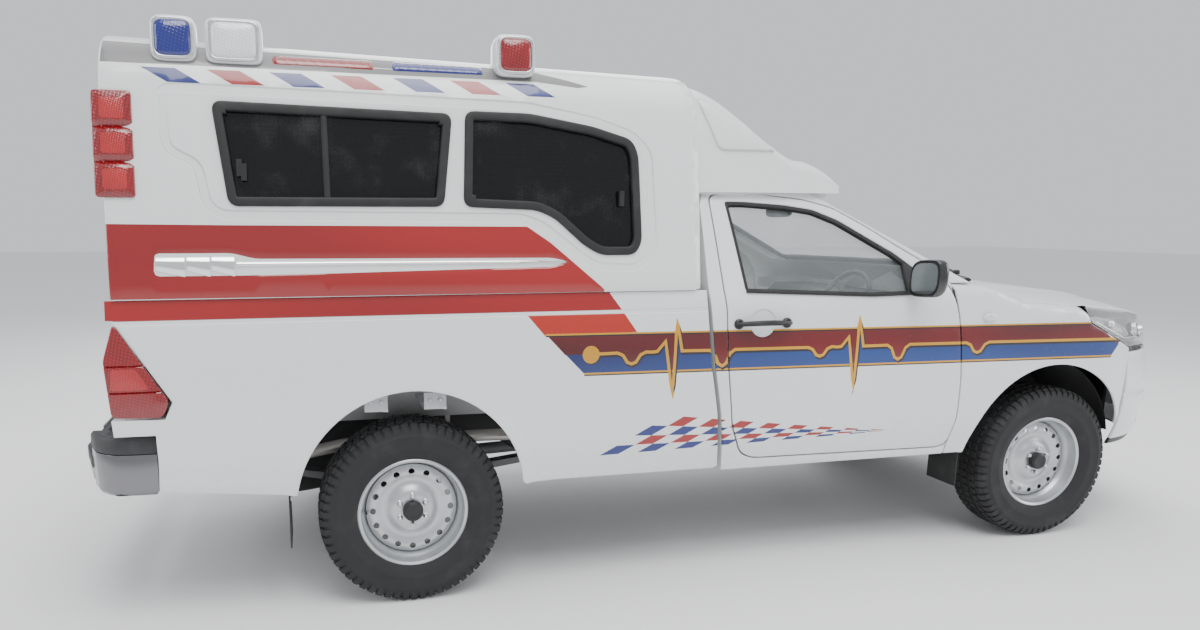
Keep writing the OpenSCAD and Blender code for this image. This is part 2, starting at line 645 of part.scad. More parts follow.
// The moulded fairing that reaches forward over the cab roof
fair_top = [[-1960, 2130], [-1837, 2105], [-1727, 2060], [-1608, 1976], [-1491, 1886],
    [-1361, 1802], [-1284, 1791], [-1205, 1752]];
function fair_line(t) = t == 0
    ? concat(fair_top, [[-1140, 1690], [-1150, 1655], [-1250, 1650], [-1960, 1650]])
    : concat([for (p = fair_top) p - [t / 2, t]], [[-1205 - t, 1600], [-1960 - t, 1600]]);
function fair_side(t) = [[half_w - 200 - t, 1640], [half_w - 215 - t, 1720],
    [half_w - 245 - t, 1900], [half_w - 285 - t, 2030], [half_w - 350 - t, 2085 - t * 0.8],
    [half_w - 500 - t, 2125 - t], [0, 2150 - t]];
module fairing(t)
    intersection() {
        along_x(canopy_front - 40, fx) polygon(both(fair_side(t)));
        along_y(-half_w, half_w) polygon(at_x(fx, fair_line(t)));
    }
slide_line = soft([[-680, 1940], [168, 1922], [128, 1590], [-635, 1587]], 25, 3);
fixed_line = soft([[234, 1934], [480, 1932], [740, 1890], [896, 1845], [920, 1790],
    [928, 1450], [900, 1405], [762, 1405], [695, 1442], [575, 1548], [500, 1580],
    [218, 1590]], 25, 3);
hatch_z = [bed_top + 8, 2050];
hatch_low = 700;
hatch_top = 640;
function hatch_line(g) = soft([[-hatch_low - g, hatch_z[0] - g], [-hatch_top - g, hatch_z[1] + g],
    [hatch_top + g, hatch_z[1] + g], [hatch_low + g, hatch_z[0] - g]], 40, 3);

module canopy_shell() color("white") {
    left_right() box(tail_x - 12, tail_x + 12, 350, 420, hatch_z[1] + fit, hatch_z[1] + shut + 4);
    difference() {
        union() {
            canopy_block(0, tail_x, canopy_front);
            fairing(0);
        }
        canopy_block(canopy_wall, tail_x + canopy_wall, canopy_front - canopy_wall);
        difference() {
            fairing(canopy_wall);
            along_x(canopy_front - 60, fx) polygon(both(cab_side(-44)));
        }
        along_x(canopy_front + 1, fx) polygon(both(cab_side(-12)));
        left_right() along_y(600, half_w + 10) polygon(at_x(rx, slide_line));
        left_right() along_y(600, half_w + 10) polygon(at_x(rx, fixed_line));
        along_x(tail_x - 50, tail_x + canopy_wall + 20) polygon(hatch_line(shut));
    }
}
module window_pane(pts)
    intersection() {
        difference() {
            canopy_block(10, tail_x - 50, canopy_front);
            canopy_block(10 + glass_t, tail_x - 51, canopy_front + 1);
        }
        along_y(600, half_w) polygon(at_x(rx, grow(pts, -fit)));
    }
module canopy_windows() color("#2c3136", 0.8)
    left_right() {
        window_pane(slide_line);
        window_pane(fixed_line);
    }

window_z = [1330, 1950];
function hatch_pane(g) = soft([[-600 - g, window_z[0] - g], [-560 - g, window_z[1] + g],
    [560 + g, window_z[1] + g], [600 + g, window_z[0] - g]], 40, 3);
module rear_hatch() color("white")
    difference() {
        along_x(tail_x - 14, tail_x + 14) polygon(hatch_line(0));
        along_x(tail_x - 20, tail_x + 20) polygon(hatch_pane(fit));
    }
module hatch_glass() color("#2c3136", 0.8)
    along_x(tail_x - 6, tail_x - 6 + glass_t) polygon(hatch_pane(0));

// ---- Lamps ----

module canopy_lamps() color("#b3202a")
    left_right() intersection() {
        difference() {
            canopy_block(-14, rx - 1074, rx - 948);
            canopy_block(-fit, tail_x - fit, rx - 900);
            box(rx - 1080, tail_x, -750, 750, 1500, 2000);
        }
        along_y(600, half_w + 20) polygon(at_x(rx, soft([[-1074, 1606], [-1074, 1970],
            [-948, 1970], [-948, 1606]], 20)));
    }

red_x = [[357, 515]];
blue_x = [[-883, -730]];
clear_x = [[-700, -504]];
module beacon_lens(x, g)
    difference() {
        box(rx + x[0] + 22 - g, rx + x[1] - 22 + g, half_w - 190 - g, half_w - 122,
            2120 - g, 2215 + g);
        canopy_block(g - fit, tail_x, canopy_front);
    }
module beacon_case(x)
    difference() {
        along_x(rx + x[0], rx + x[1]) polygon(soft([[half_w - 330, 2100], [half_w - 330, 2235],
            [half_w - 150, 2240], [half_w - 130, 2210], [half_w - 130, 2080]], 20));
        canopy_block(-fit, tail_x, canopy_front);
        beacon_lens(x, fit);
    }
module bar(x, g)
    intersection() {
        difference() {
            canopy_block(-12, rx + x[0], rx + x[1]);
            canopy_block(-fit, rx + x[0] - 5, rx + x[1] + 5);
        }
        box(rx + x[0], rx + x[1], half_w - 300, half_w, 2078, 2132);
    }
module lamp_housings() color("white") left_right()
    for (x = concat(red_x, blue_x, clear_x)) beacon_case(x);
module red_beacons() color("#c31f2b") left_right() {
    for (x = red_x) beacon_lens(x, 0);
    bar([-476, -106]);
}
module blue_beacons() color("#1b4fc4") left_right() {
    for (x = blue_x) beacon_lens(x, 0);
    bar([-40, 315]);
}
module clear_beacons() color("#dfe4e6") left_right() for (x = clear_x) beacon_lens(x, 0);

// ---- Rear ----

bumper_back = rx - rear_overhang;
step_z = 650;
module rear_bumper() color("#3a3b3e") {
    along_z(560, step_z) polygon([[bumper_back, -520], [bumper_back, 520], [bumper_back + 60, 720],
        [rx - 1110, 720], [rx - 1110, -720], [bumper_back + 60, -720]]);
    left_right() {
        along_z(530, 754) polygon([[rx - 1190, 719], [rx - 1156, half_w - 100],
            [rx - 1080, half_w - 34], [rx - 939, half_w - 26], [rx - 939, half_w - 48],
            [rx - 1076, half_w - 55], [rx - 1115, half_w - 110], [rx - 1115, 719]]);
        box(rx - 1111, rail_tail, rail_in + 10, rail_out - 10, 585, 640);
    }
}
hub_in = 19.7;
drum_r = rim_seat / 2 - 70.5;
module rear_axle() color("#2f3033") {
    rod([rx, -track_r / 2 + 90, axle_z], [rx, track_r / 2 - 90, axle_z], 40);
    rod([rx, -track_r / 2 - hub_in, axle_z], [rx, track_r / 2 + hub_in, axle_z], 32);
    left_right() rod([rx, track_r / 2 - 92, axle_z], [rx, track_r / 2 - 6, axle_z], drum_r);
    translate([rx, 0, axle_z]) sphere(r = 145);
    rod([rx + 100, 0, axle_z], [rx + 190, 0, axle_z], 60);
}
spring_y = [rail_out + 40, rail_out + 100];
module leaf_springs() color("#2f3033") left_right() {
    along_y(spring_y[0], spring_y[1]) polygon([[rx - 660, 500], [rx - 640, 520], [rx - 300, 455],
        [rx, axle_z + 40 + 38], [rx + 300, 450], [rx + 600, 485], [rx + 620, 460],
        [rx + 300, 418], [rx + 150, axle_z + 40 + fit], [rx - 150, axle_z + 40 + fit],
        [rx - 300, 424]]);
    box(rx + 570, rx + 630, rail_out, spring_y[1], 450, 555);
    box(rx - 675, rx - 625, rail_out, spring_y[1], 495, 640);
}

king_y = track_f / 2 - king_in;
pad_z = [axle_z - 112, axle_z + 112];
module front_suspension() color("#2f3033") {
    box(fx - 110, fx + 110, -rail_out, rail_out, 385, rail_lo + 40);
    left_right() {
        along_z(pad_z[0] - 28 - fit, pad_z[0] - fit) polygon([[fx - 180, 300], [fx - 180, 350],
            [fx - 30, king_y - 5], [fx - 30, king_y + 28], [fx + 30, king_y + 28],
            [fx + 30, king_y - 5], [fx + 180, 350], [fx + 180, 300]]);
        box(fx - 100, fx + 100, 300, 340, pad_z[0] - 20, 386);
        along_z(pad_z[1] + fit, pad_z[1] + 22) polygon([[fx - 110, rail_out], [fx - 25, king_y - 5],
            [fx - 25, king_y + 25], [fx + 25, king_y + 25], [fx + 25, king_y - 5],
            [fx + 110, rail_out]]);
        rod([fx, 470, pad_z[0] - 10], [fx, 440, 800], 45);
        box(fx - 60, fx + 60, rail_out, 480, 800, 830);
        box(fx - 60, fx + 60, rail_out, rail_out + 8, 500, 830);
    }
}
module knuckle() {
    translate([fx, king_y, pad_z[0]]) cylinder(h = pad_z[1] - pad_z[0], r = 26);
    rod([fx, king_y - 30, axle_z], [fx, king_y + 55, axle_z], 62);
    rod([fx, king_y, axle_z], [fx, track_f / 2 + hub_in, axle_z], 32);
    rod([fx, king_y + 22, axle_z], [fx, king_y + 34, axle_z], 104);
}

// A round tube swept along points, with a radius at each point
module tube(pts, radii, n = 16) {
    m = len(pts);
    rings = [for (i = [0:m - 1]) let (t = unit(pts[min(i + 1, m - 1)] - pts[max(i - 1, 0)]),
        side = unit(cross(t, [0, 0, 1])), top = cross(side, t))
            each [for (k = [0:n - 1]) let (a = 360 * k / n)
                pts[i] + radii[i] * (cos(a) * side + sin(a) * top)]];
    walls = [for (i = [0:m - 2], k = [0:n - 1]) let (a = i * n + k, b = i * n + (k + 1) % n)
        each [[a, b, b + n], [a, b + n, a + n]]];
    polyhedron(rings, concat(walls, [[for (k = [n - 1:-1:0]) k]],
        [[for (k = [0:n - 1]) (m - 1) * n + k]]));
}
pipe_r = 26;
muffler_r = 68;
module exhaust() color("#6d6e70") {
    route = [[fx - 175, -230, 477], [fx - 180, -230, 430], [fx - 260, -230, 390],
        [fx - 360, -230, 378],
        [fx - 740, -250, 378], [fx - 1000, -440, 378], [fx - 1120, -476, 400],
        [rx + 1440, -480, 465], [rx + 1400, -480, 465], [rx + 1380, -480, 465],
        [rx + 900, -480, 465], [rx + 880, -480, 465], [rx + 820, -490, 480],
        [rx + 640, -550, 570], [rx + 500, -560, 600], [rx + 350, -560, 604],
        [rx - 250, -560, 600], [rx - 400, -560, 575], [rx - 600, -560, 512],
        [rx - 760, -575, 507], [rx - 880, -640, 507]];
    tube(route, [for (i = [0:len(route) - 1]) i == 9 || i == 10 ? muffler_r : pipe_r]);
    box(rx + 180, rx + 200, -549, -535, 600, bed_z);
}
module fuel_tank() color("#26272a") box(rx + 680, rx + 1480, rail_out, 690, 405, 545);
module prop_shafts() color("#35363a") {
    rod([rx + 190 + 1.5, 0, axle_z], [fx - 850 - 1.5, 0, 450], 30);
}
module flap(x, lo, hi) left_right() box(x - 3, x + 3, half_w - 245, half_w - 62, lo, hi);
module mud_flaps() color("#1b1b1d") {
    flap(fx - 500, 290, sill_z - fit);
    flap(rx - 480, 267, 490.9);
}
spare_x = rx - 524;
spare_z = 440;
module spare_wheel() color("#1c1c1e")
    translate([spare_x, 0, spare_z]) {
        tyre();
        cylinder(h = 40, r = rim_seat / 2);
        cylinder(h = bed_z - spare_z, r = 18);
    }
module attendant_bench() color("#c9cdd0") {
    box(rx - 500, rx - 500 + bench_l, 200, house_in - 20, bed_z + bed_floor_t, 1120);
}

module tyre_front_left() color("#1c1c1e") wheel_at(fx, track_f / 2) tyre();
module tyre_front_right() color("#1c1c1e") wheel_at(fx, -track_f / 2) tyre();
module knuckle_left() color("#3c3d40") knuckle();
module knuckle_right() color("#3c3d40") mirror([0, 1, 0]) knuckle();

chassis_frame();
cab_shell();
cab_glass();
front_fenders();
front_structure();
front_bumper();
grille();
headlamps();
dashboard();
seats();
engine_block();
bed();
canopy_shell();
canopy_windows();
tail_lamps();
canopy_lamps();
lamp_housings();
red_beacons();
blue_beacons();
clear_beacons();
rear_bumper();
rear_axle();
leaf_springs();
front_suspension();
exhaust();
fuel_tank();
prop_shafts();
mud_flaps();
spare_wheel();
attendant_bench();
door_left();
door_right();
door_glass_left();
door_glass_right();
mirror_left();
mirror_right();
bonnet();
tailgate();
rear_hatch();
hatch_glass();
steering_wheel();
knuckle_left();
knuckle_right();
tyre_front_left();
tyre_front_right();
tyre_rear_left();
tyre_rear_right();
rim_front_left();
rim_front_right();
rim_rear_left();
rim_rear_right();
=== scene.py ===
"""Pickup ambulance: painted skins, glass, lamps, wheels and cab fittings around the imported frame."""

import logging
import math
from collections.abc import Callable, Sequence
from dataclasses import dataclass, field
from enum import Enum
from typing import ClassVar

import bmesh
import bpy
import numpy as np
from mathutils import Matrix, Vector
from mathutils.geometry import delaunay_2d_cdt


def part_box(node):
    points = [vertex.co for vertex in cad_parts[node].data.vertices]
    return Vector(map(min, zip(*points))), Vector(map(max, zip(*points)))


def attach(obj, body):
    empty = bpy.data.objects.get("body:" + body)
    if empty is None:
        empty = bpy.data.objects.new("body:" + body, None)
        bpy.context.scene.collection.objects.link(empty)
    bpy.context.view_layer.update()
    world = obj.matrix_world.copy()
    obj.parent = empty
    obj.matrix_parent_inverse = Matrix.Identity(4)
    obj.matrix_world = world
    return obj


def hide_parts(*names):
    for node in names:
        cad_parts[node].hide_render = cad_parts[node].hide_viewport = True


LOG = logging.getLogger("ambulance")
Points = np.ndarray
Surface = Callable[[Points], Points]

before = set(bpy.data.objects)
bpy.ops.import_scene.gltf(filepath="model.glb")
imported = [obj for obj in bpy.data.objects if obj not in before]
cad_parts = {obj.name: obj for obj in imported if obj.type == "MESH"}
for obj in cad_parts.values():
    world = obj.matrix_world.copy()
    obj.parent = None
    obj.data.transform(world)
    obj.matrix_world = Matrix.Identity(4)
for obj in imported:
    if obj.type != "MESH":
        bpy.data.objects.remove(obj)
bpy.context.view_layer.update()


# ---- Plane geometry ----


def mm(points: Sequence[Sequence[float]], x: float = 0.0) -> Points:
    """Turns millimetres into metres and moves them along the first axis.

    Args:
        points: Places in millimetres.
        x: Distance to add to the first number of each, in metres.

    Returns:
        An array of places in metres.
    """
    out = np.array(points, float) / 1000
    out[:, 0] += x
    return out


def soften(points: Points, radius: float, steps: int = 4) -> Points:
    """Rounds each corner of a closed outline.

    Args:
        points: The outline's corners.
        radius: Distance from a corner at which its curve starts.
        steps: Number of pieces in each curve.

    Returns:
        The rounded outline.
    """
    out = []
    count = len(points)
    for i, corner in enumerate(points):
        ends = []
        for other in (points[i - 1], points[(i + 1) % count]):
            span = other - corner
            ends.append(corner + span * min(radius / np.linalg.norm(span), 0.45))
        for k in range(steps + 1):
            u = k / steps
            out.append(ends[0] * (1 - u) ** 2 + corner * 2 * u * (1 - u) + ends[1] * u * u)
    return np.array(out)


def signed_area(points: Points) -> float:
    """Area inside a closed outline, positive when it runs anticlockwise."""
    x, y = points[:, 0], points[:, 1]
    return 0.5 * float(np.sum(x * np.roll(y, -1) - y * np.roll(x, -1)))


def offset(points: Points, distance: float, closed: bool = True) -> Points:
    """Moves a path to its left.

    Args:
        points: The path's points, in order.
        distance: How far to move it; a negative number moves it to its right.
        closed: Whether the path's end joins its start.

    Returns:
        The moved path, with as many points.
    """
    before = points - np.roll(points, 1, 0)
    after = np.roll(points, -1, 0) - points
    if not closed:
        before[0] = after[0]
        after[-1] = before[-1]
    unit = [v / np.maximum(np.linalg.norm(v, axis=1, keepdims=True), 1e-9) for v in (before, after)]
    normals = [np.stack([-v[:, 1], v[:, 0]], 1) for v in unit]
    total = normals[0] + normals[1]
    scale = 1 + np.sum(normals[0] * normals[1], 1, keepdims=True)
    return points + distance * total / np.maximum(scale, 0.4)


def densify(points: Points, gap: float, closed: bool = True) -> Points:
    """Adds points to a path so that no two neighbours lie further apart than a gap."""
    ends = np.roll(points, -1, 0) if closed else points[1:]
    out = []
    for start, end in zip(points, ends):
        count = max(1, math.ceil(np.linalg.norm(end - start) / gap))
        out.extend(start + (end - start) * k / count for k in range(count))
    if not closed:
        out.append(points[-1])
    return np.array(out)


def inside(points: Points, outline: Points) -> np.ndarray:
    """Tells which points lie inside a closed outline."""
    result = np.zeros(len(points), bool)
    x, y = points[:, 0], points[:, 1]
    for (ax, ay), (bx, by) in zip(outline, np.roll(outline, -1, 0)):
        crosses = (ay > y) != (by > y)
        reach = ax + (y - ay) * (bx - ax) / (by - ay if by != ay else 1e-12)
        result ^= crosses & (x < reach)
    return result


def distance_to(points: Points, path: Points, closed: bool) -> np.ndarray:
    """Shortest distance from each point to a path."""
    best = np.full(len(points), 1e9)
    ends = np.roll(path, -1, 0) if closed else path[1:]
    for a, b in zip(path, ends):
        span = b - a
        length = max(float(span @ span), 1e-12)
        t = np.clip(((points - a) @ span) / length, 0, 1)
        best = np.minimum(best, np.linalg.norm(points - a - t[:, None] * span, axis=1))
    return best


# ---- Meshes ----


class Shape:
    """A mesh in the making, with a finish for each face."""

    def __init__(self) -> None:
        """Starts with no points and no faces."""
        self.points: list[tuple[float, float, float]] = []
        self.faces: list[tuple[int, ...]] = []
        self.finishes: list[int] = []

    def add(self, points: Sequence[Sequence[float]], faces: Sequence[Sequence[int]], finish: int = 0) -> int:
        """Adds points and the faces between them.

        Args:
            points: Places in the row frame.
            faces: Corners of each face, counted from the first new point.
            finish: Number of the faces' finish.

        Returns:
            The number of the first new point.
        """
        start = len(self.points)
        self.points.extend(tuple(float(c) for c in p) for p in points)
        self.faces.extend(tuple(start + i for i in f) for f in faces)
        self.finishes.extend([finish] * len(faces))
        return start

    def mirrored(self) -> "Shape":
        """The same shape on the vehicle's other side."""
        other = Shape()
        other.points = [(x, -y, z) for x, y, z in self.points]
        other.faces = [tuple(reversed(f)) for f in self.faces]
        other.finishes = list(self.finishes)
        return other

    def join(self, other: "Shape") -> "Shape":
        """Adds another shape's faces to this one and returns this one."""
        start = len(self.points)
        self.points.extend(other.points)
        self.faces.extend(tuple(start + i for i in f) for f in other.faces)
        self.finishes.extend(other.finishes)
        return self

    def both_sides(self) -> "Shape":
        """This shape and its mirror image together."""
        return self.join(self.mirrored())

    def grid(self, rows: Sequence[Sequence[Sequence[float]]], closed: bool = False, finish: int = 0) -> None:
        """Adds a sheet of four-sided faces through rows of points.

        Args:
            rows: Rows with the same number of points.
            closed: Whether each row's end joins its start.
            finish: Number of the faces' finish.
        """
        count = len(rows[0])
        last = count if closed else count - 1
        faces = [(i * count + j, i * count + (j + 1) % count, (i + 1) * count + (j + 1) % count,
                  (i + 1) * count + j) for i in range(len(rows) - 1) for j in range(last)]
        self.add([p for row in rows for p in row], faces, finish)

    def lathe(self, profile: Sequence[tuple[float, float]], place: Matrix, count: int = 64,
              finish: int = 0) -> None:
        """Turns a closed profile of radius and height about a place's own Z axis."""
        rows = []
        for k in range(count):
            a = 2 * math.pi * k / count
            rows.append([place @ Vector((r * math.cos(a), r * math.sin(a), h)) for r, h in profile])
        self.grid(rows + [rows[0]], closed=True, finish=finish)

    def disc(self, profile: Sequence[tuple[float, float]], place: Matrix, count: int = 32,
             finish: int = 0) -> None:
        """Turns an open profile that starts and ends on the axis about a place's own Z axis."""
        inner = [p for p in profile if p[0] > 0]
        rows = []
        for r, h in inner:
            rows.append([place @ Vector((r * math.cos(a), r * math.sin(a), h))
                         for a in (2 * math.pi * k / count for k in range(count))])
        start = self.add([p for row in rows for p in row], [], finish)
        size = len(inner)
        faces = [(start + i * count + j, start + i * count + (j + 1) % count,
                  start + (i + 1) * count + (j + 1) % count, start + (i + 1) * count + j)
                 for i in range(size - 1) for j in range(count)]
        for pole, row in ((profile[0], 0), (profile[-1], size - 1)):
            tip = len(self.points)
            self.points.append(tuple(place @ Vector((0, 0, pole[1]))))
            for j in range(count):
                pair = (start + row * count + j, start + row * count + (j + 1) % count)
                faces.append((tip, pair[1], pair[0]) if row == 0 else (tip, *pair))
        self.faces.extend(faces)
        self.finishes.extend([finish] * len(faces))

    def tube(self, path: Sequence[Sequence[float]], radii: Sequence[float] | float, sides: int = 12,
             closed: bool = False, finish: int = 0, flat: float = 1.0) -> None:
        """Sweeps a round or flattened section along a path.

        Args:
            path: Points that the middle of the section follows.
            radii: One radius, or one for each point.
            sides: Number of faces around the section.
            closed: Whether the path joins its start.
            finish: Number of the faces' finish.
            flat: Height of the section as a share of its width.
        """
        line = [Vector(p) for p in path]
        count = len(line)
        size = [radii] * count if isinstance(radii, (int, float)) else list(radii)
        rows = []
        side = None
        for i, point in enumerate(line):
            ahead = line[(i + 1) % count] if closed or i + 1 < count else point
            behind = line[i - 1] if closed or i > 0 else point
            forward = (ahead - behind).normalized()
            if side is None:
                up = Vector((0, 0, 1)) if abs(forward.z) < 0.9 else Vector((0, 1, 0))
                side = forward.cross(up).normalized()
            side = (side - forward * side.dot(forward)).normalized()
            top = side.cross(forward)
            rows.append([point + side * size[i] * math.cos(a) + top * size[i] * flat * math.sin(a)
                         for a in (2 * math.pi * k / sides for k in range(sides))])
        if closed:
            self.grid(rows + [rows[0]], closed=True, finish=finish)
            return
        first = len(self.points)
        self.grid(rows, closed=True, finish=finish)
        self.add([], [], finish)
        self.faces.append(tuple(first + k for k in reversed(range(sides))))
        self.faces.append(tuple(first + (count - 1) * sides + k for k in range(sides)))
        self.finishes.extend([finish, finish])

    def loft(self, rows: Sequence[Sequence[Vector]], finish: int = 0) -> None:
        """Adds a closed body through rings of points, with both ends capped."""
        count = len(rows[0])
        first = len(self.points)
        self.grid(rows, closed=True, finish=finish)
        self.faces.append(tuple(first + k for k in reversed(range(count))))
        self.faces.append(tuple(first + (len(rows) - 1) * count + k for k in range(count)))
        self.finishes.extend([finish, finish])

    def block(self, low: Sequence[float], high: Sequence[float], finish: int = 0) -> None:
        """Adds a six-sided block between two corners; a bevel finishes it later."""
        pts = [(x, y, z) for x in (low[0], high[0]) for y in (low[1], high[1]) for z in (low[2], high[2])]
        self.add(pts, [(0, 1, 3, 2), (4, 6, 7, 5), (0, 4, 5, 1), (2, 3, 7, 6), (0, 2, 6, 4), (1, 5, 7, 3)],
                 finish)

@dataclass
class Relief:
    """A groove along an open path, or a recess inside a closed one."""

    path: Points
    closed: bool
    steps: list[tuple[float, float]]

    def lines(self) -> list[tuple[Points, bool]]:
        """Paths where the relief changes its slope."""
        out = []
        anticlockwise = signed_area(self.path) > 0
        for distance, _ in self.steps:
            for side in ((1,) if self.closed else (1, -1)):
                turn = side if anticlockwise or not self.closed else -side
                out.append((offset(self.path, turn * distance, self.closed), self.closed))
        return out

    def depth(self, points: Points) -> np.ndarray:
        """How far each point lies under the plain surface."""
        away = distance_to(points, self.path, self.closed)
        if self.closed:
            away = np.where(inside(points, self.path), away, -away)
        return np.interp(away, [s[0] for s in self.steps], [s[1] for s in self.steps])


@dataclass
class Patch:
    """A painted area of a panel, with the number of its finish."""

    outline: Points
    finish: int

    def lines(self) -> list[tuple[Points, bool]]:
        """Paths along which the paint changes."""
        return [(self.outline, True)]

    def covers(self, points: Points) -> np.ndarray:
        """Tells which points the paint covers."""
        return inside(points, self.outline)


@dataclass
class Stroke(Patch):
    """A painted line of one width along an open path."""

    width: float = 0.01

    def lines(self) -> list[tuple[Points, bool]]:
        """Both edges of the line."""
        half = self.width / 2
        return [(offset(self.outline, half, False), False), (offset(self.outline, -half, False), False)]

    def covers(self, points: Points) -> np.ndarray:
        """Tells which points the line covers."""
        return distance_to(points, self.outline, False) < self.width / 2


@dataclass
class ClosedStroke(Stroke):
    """A painted line of one width round a closed path."""

    def lines(self) -> list[tuple[Points, bool]]:
        """Both edges of the line."""
        half = self.width / 2
        return [(offset(self.outline, half), True), (offset(self.outline, -half), True)]

    def covers(self, points: Points) -> np.ndarray:
        """Tells which points the line covers."""
        return distance_to(points, self.outline, True) < self.width / 2


@dataclass
class Skin:
    """A panel with rounded edges, cut out of a surface along an outline."""

    name: str
    outline: Points
    place: Surface
    holes: list[Points] = field(default_factory=list)
    patches: list[Patch] = field(default_factory=list)
    reliefs: list[Relief] = field(default_factory=list)
    thickness: float = 0.008
    edge: float = 0.003
    gap: float = 0.035
    centre: tuple[float, float, float] = (0.0, 0.0, 0.9)

    def _triangles(self) -> tuple[Points, np.ndarray]:
        """Fills the panel's flat outline with triangles.

        Returns:
            The flat points and the corners of each triangle.
        """
        loops = []
        for k, loop in enumerate([self.outline, *self.holes]):
            turned = loop if (signed_area(loop) > 0) == (k == 0) else loop[::-1]
            loops.append(offset(densify(turned, self.gap), self.edge))
        lines = [(loop, True) for loop in loops]
        for relief in self.reliefs:
            lines += [(densify(p, self.gap, c), c) for p, c in relief.lines()]
        for patch in self.patches:
            lines += [(densify(p, self.gap, c), c) for p, c in patch.lines()]
        edge_points = np.concatenate([p for p, _ in lines])
        low, high = loops[0].min(0), loops[0].max(0)
        rows = np.arange(low[1], high[1], self.gap * 0.87)
        inner = np.array([(x + (0.5 * self.gap if j % 2 else 0), y) for j, y in enumerate(rows)
                          for x in np.arange(low[0], high[0], self.gap)])
        keep = inside(inner, loops[0])
        for hole in loops[1:]:
            keep &= ~inside(inner, hole)
        inner = inner[keep]
        near = np.min([distance_to(inner, p, c) for p, c in lines], axis=0) if len(inner) else []
        inner = inner[near > 0.4 * self.gap] if len(inner) else inner
        everything = np.concatenate([edge_points, inner]) if len(inner) else edge_points
        edges = []
        start = 0
        for path, closed in lines:
            count = len(path)
            edges += [(start + i, start + (i + 1) % count) for i in range(count if closed else count - 1)]
            start += count
        out = delaunay_2d_cdt([Vector(p) for p in everything], edges, [], 0, 1e-6)
        flat = np.array([tuple(v) for v in out[0]])
        triangles = np.array([tuple(f) for f in out[2]], int)
        middle = flat[triangles].mean(1)
        keep = inside(middle, loops[0])
        for hole in loops[1:]:
            keep &= ~inside(middle, hole)
        triangles = triangles[keep]
        a, b, c = (flat[triangles[:, i]] for i in range(3))
        turn = (b[:, 0] - a[:, 0]) * (c[:, 1] - a[:, 1]) - (b[:, 1] - a[:, 1]) * (c[:, 0] - a[:, 0])
        triangles[turn < 0] = triangles[turn < 0][:, ::-1]
        return flat, triangles[np.abs(turn) > 1e-12]

    def _lift(self, flat: Points, depth: np.ndarray | float) -> Points:
        """Places flat points on the surface, a depth beneath it."""
        step = 1e-4
        here = self.place(flat)
        across = self.place(flat + [step, 0]) - here
        along = self.place(flat + [0, step]) - here
        normal = np.cross(across, along)
        normal /= np.maximum(np.linalg.norm(normal, axis=1, keepdims=True), 1e-12)
        return here - self.sign * normal * (np.zeros(len(flat)) + depth)[:, None]

    def cut(self, shape: Shape, finish: int = 0) -> Shape:
        """Adds the panel to a shape.

        Args:
            shape: The shape to add to.
            finish: Number of the panel's own finish.

        Returns:
            The same shape.
        """
        flat, triangles = self._triangles()
        self.sign = 1.0
        self.sign = self._facing(flat)
        middle = flat[triangles].mean(1)
        paint = np.full(len(triangles), finish)
        for patch in self.patches:
            paint[patch.covers(middle)] = patch.finish
        sunk = np.zeros(len(flat))
        for relief in self.reliefs:
            sunk = sunk + relief.depth(flat)
        used = np.unique(triangles)
        renumber = np.full(len(flat), -1)
        renumber[used] = np.arange(len(used))
        triangles = renumber[triangles]
        flat, sunk = flat[used], sunk[used]
        count = len(flat)
        front = self._lift(flat, sunk)
        back = self._lift(flat, self.thickness + np.maximum(sunk, 0))
        faces = triangles if self.sign > 0 else triangles[:, ::-1]
        start = shape.add(np.concatenate([front, back]), [])
        shape.faces.extend(tuple(start + i for i in f) for f in faces)
        shape.faces.extend(tuple(start + count + i for i in f[::-1]) for f in faces)
        shape.finishes.extend(list(paint) + [finish] * len(faces))
        self._rims(shape, start, flat, sunk, triangles, paint)
        return shape

    def _facing(self, flat: Points) -> float:
        """Whether the surface's own normal points away from the vehicle's middle."""
        here = self.place(flat)
        inward = self._lift(flat, 1e-3)
        return 1.0 if np.sum((here - inward) * (here - np.array(self.centre))) > 0 else -1.0

    def _rims(self, shape: Shape, start: int, flat: Points, sunk: np.ndarray, triangles: np.ndarray,
              paint: np.ndarray) -> None:
        """Closes each edge of the panel with a rounded rim."""
        owner = {}
        for face, triangle in enumerate(triangles):
            for k in range(3):
                owner[(triangle[k], triangle[(k + 1) % 3])] = face
        follow: dict[int, list[int]] = {}
        for a, b in owner:
            if (b, a) not in owner:
                follow.setdefault(a, []).append(b)
        count = len(flat)
        while follow:
            first = next(iter(follow))
            here, loop = first, []
            while here in follow:
                loop.append(here)
                ways = follow[here]
                here = ways.pop()
                if not ways:
                    del follow[loop[-1]]
                if here == first:
                    break
            if here != first or len(loop) < 3:
                continue
            ring = flat[loop]
            rows = [[start + i for i in loop]]
            for degrees in (60, 30, 0, None):
                if degrees is None:
                    spread, depth = self.edge, self.thickness
                else:
                    turn = math.radians(degrees)
                    spread, depth = self.edge * math.cos(turn), self.edge * (1 - math.sin(turn))
                places = self._lift(offset(ring, -spread), np.minimum(sunk[loop] + depth, self.thickness))
                first_new = shape.add(places, [])
                rows.append(list(range(first_new, first_new + len(loop))))
            rows.append([start + count + i for i in loop])
            size = len(loop)
            for upper, lower in zip(rows, rows[1:]):
                for k in range(size):
                    nxt = (k + 1) % size
                    face = (upper[k], lower[k], lower[nxt], upper[nxt])
                    shape.faces.append(face if self.sign > 0 else face[::-1])
                    shape.finishes.append(int(paint[owner[(loop[k], loop[nxt])]]))


class Rounding(Enum):
    """How a finished piece's shading treats its corners."""

    SOFT = 50
    CRISP = 28


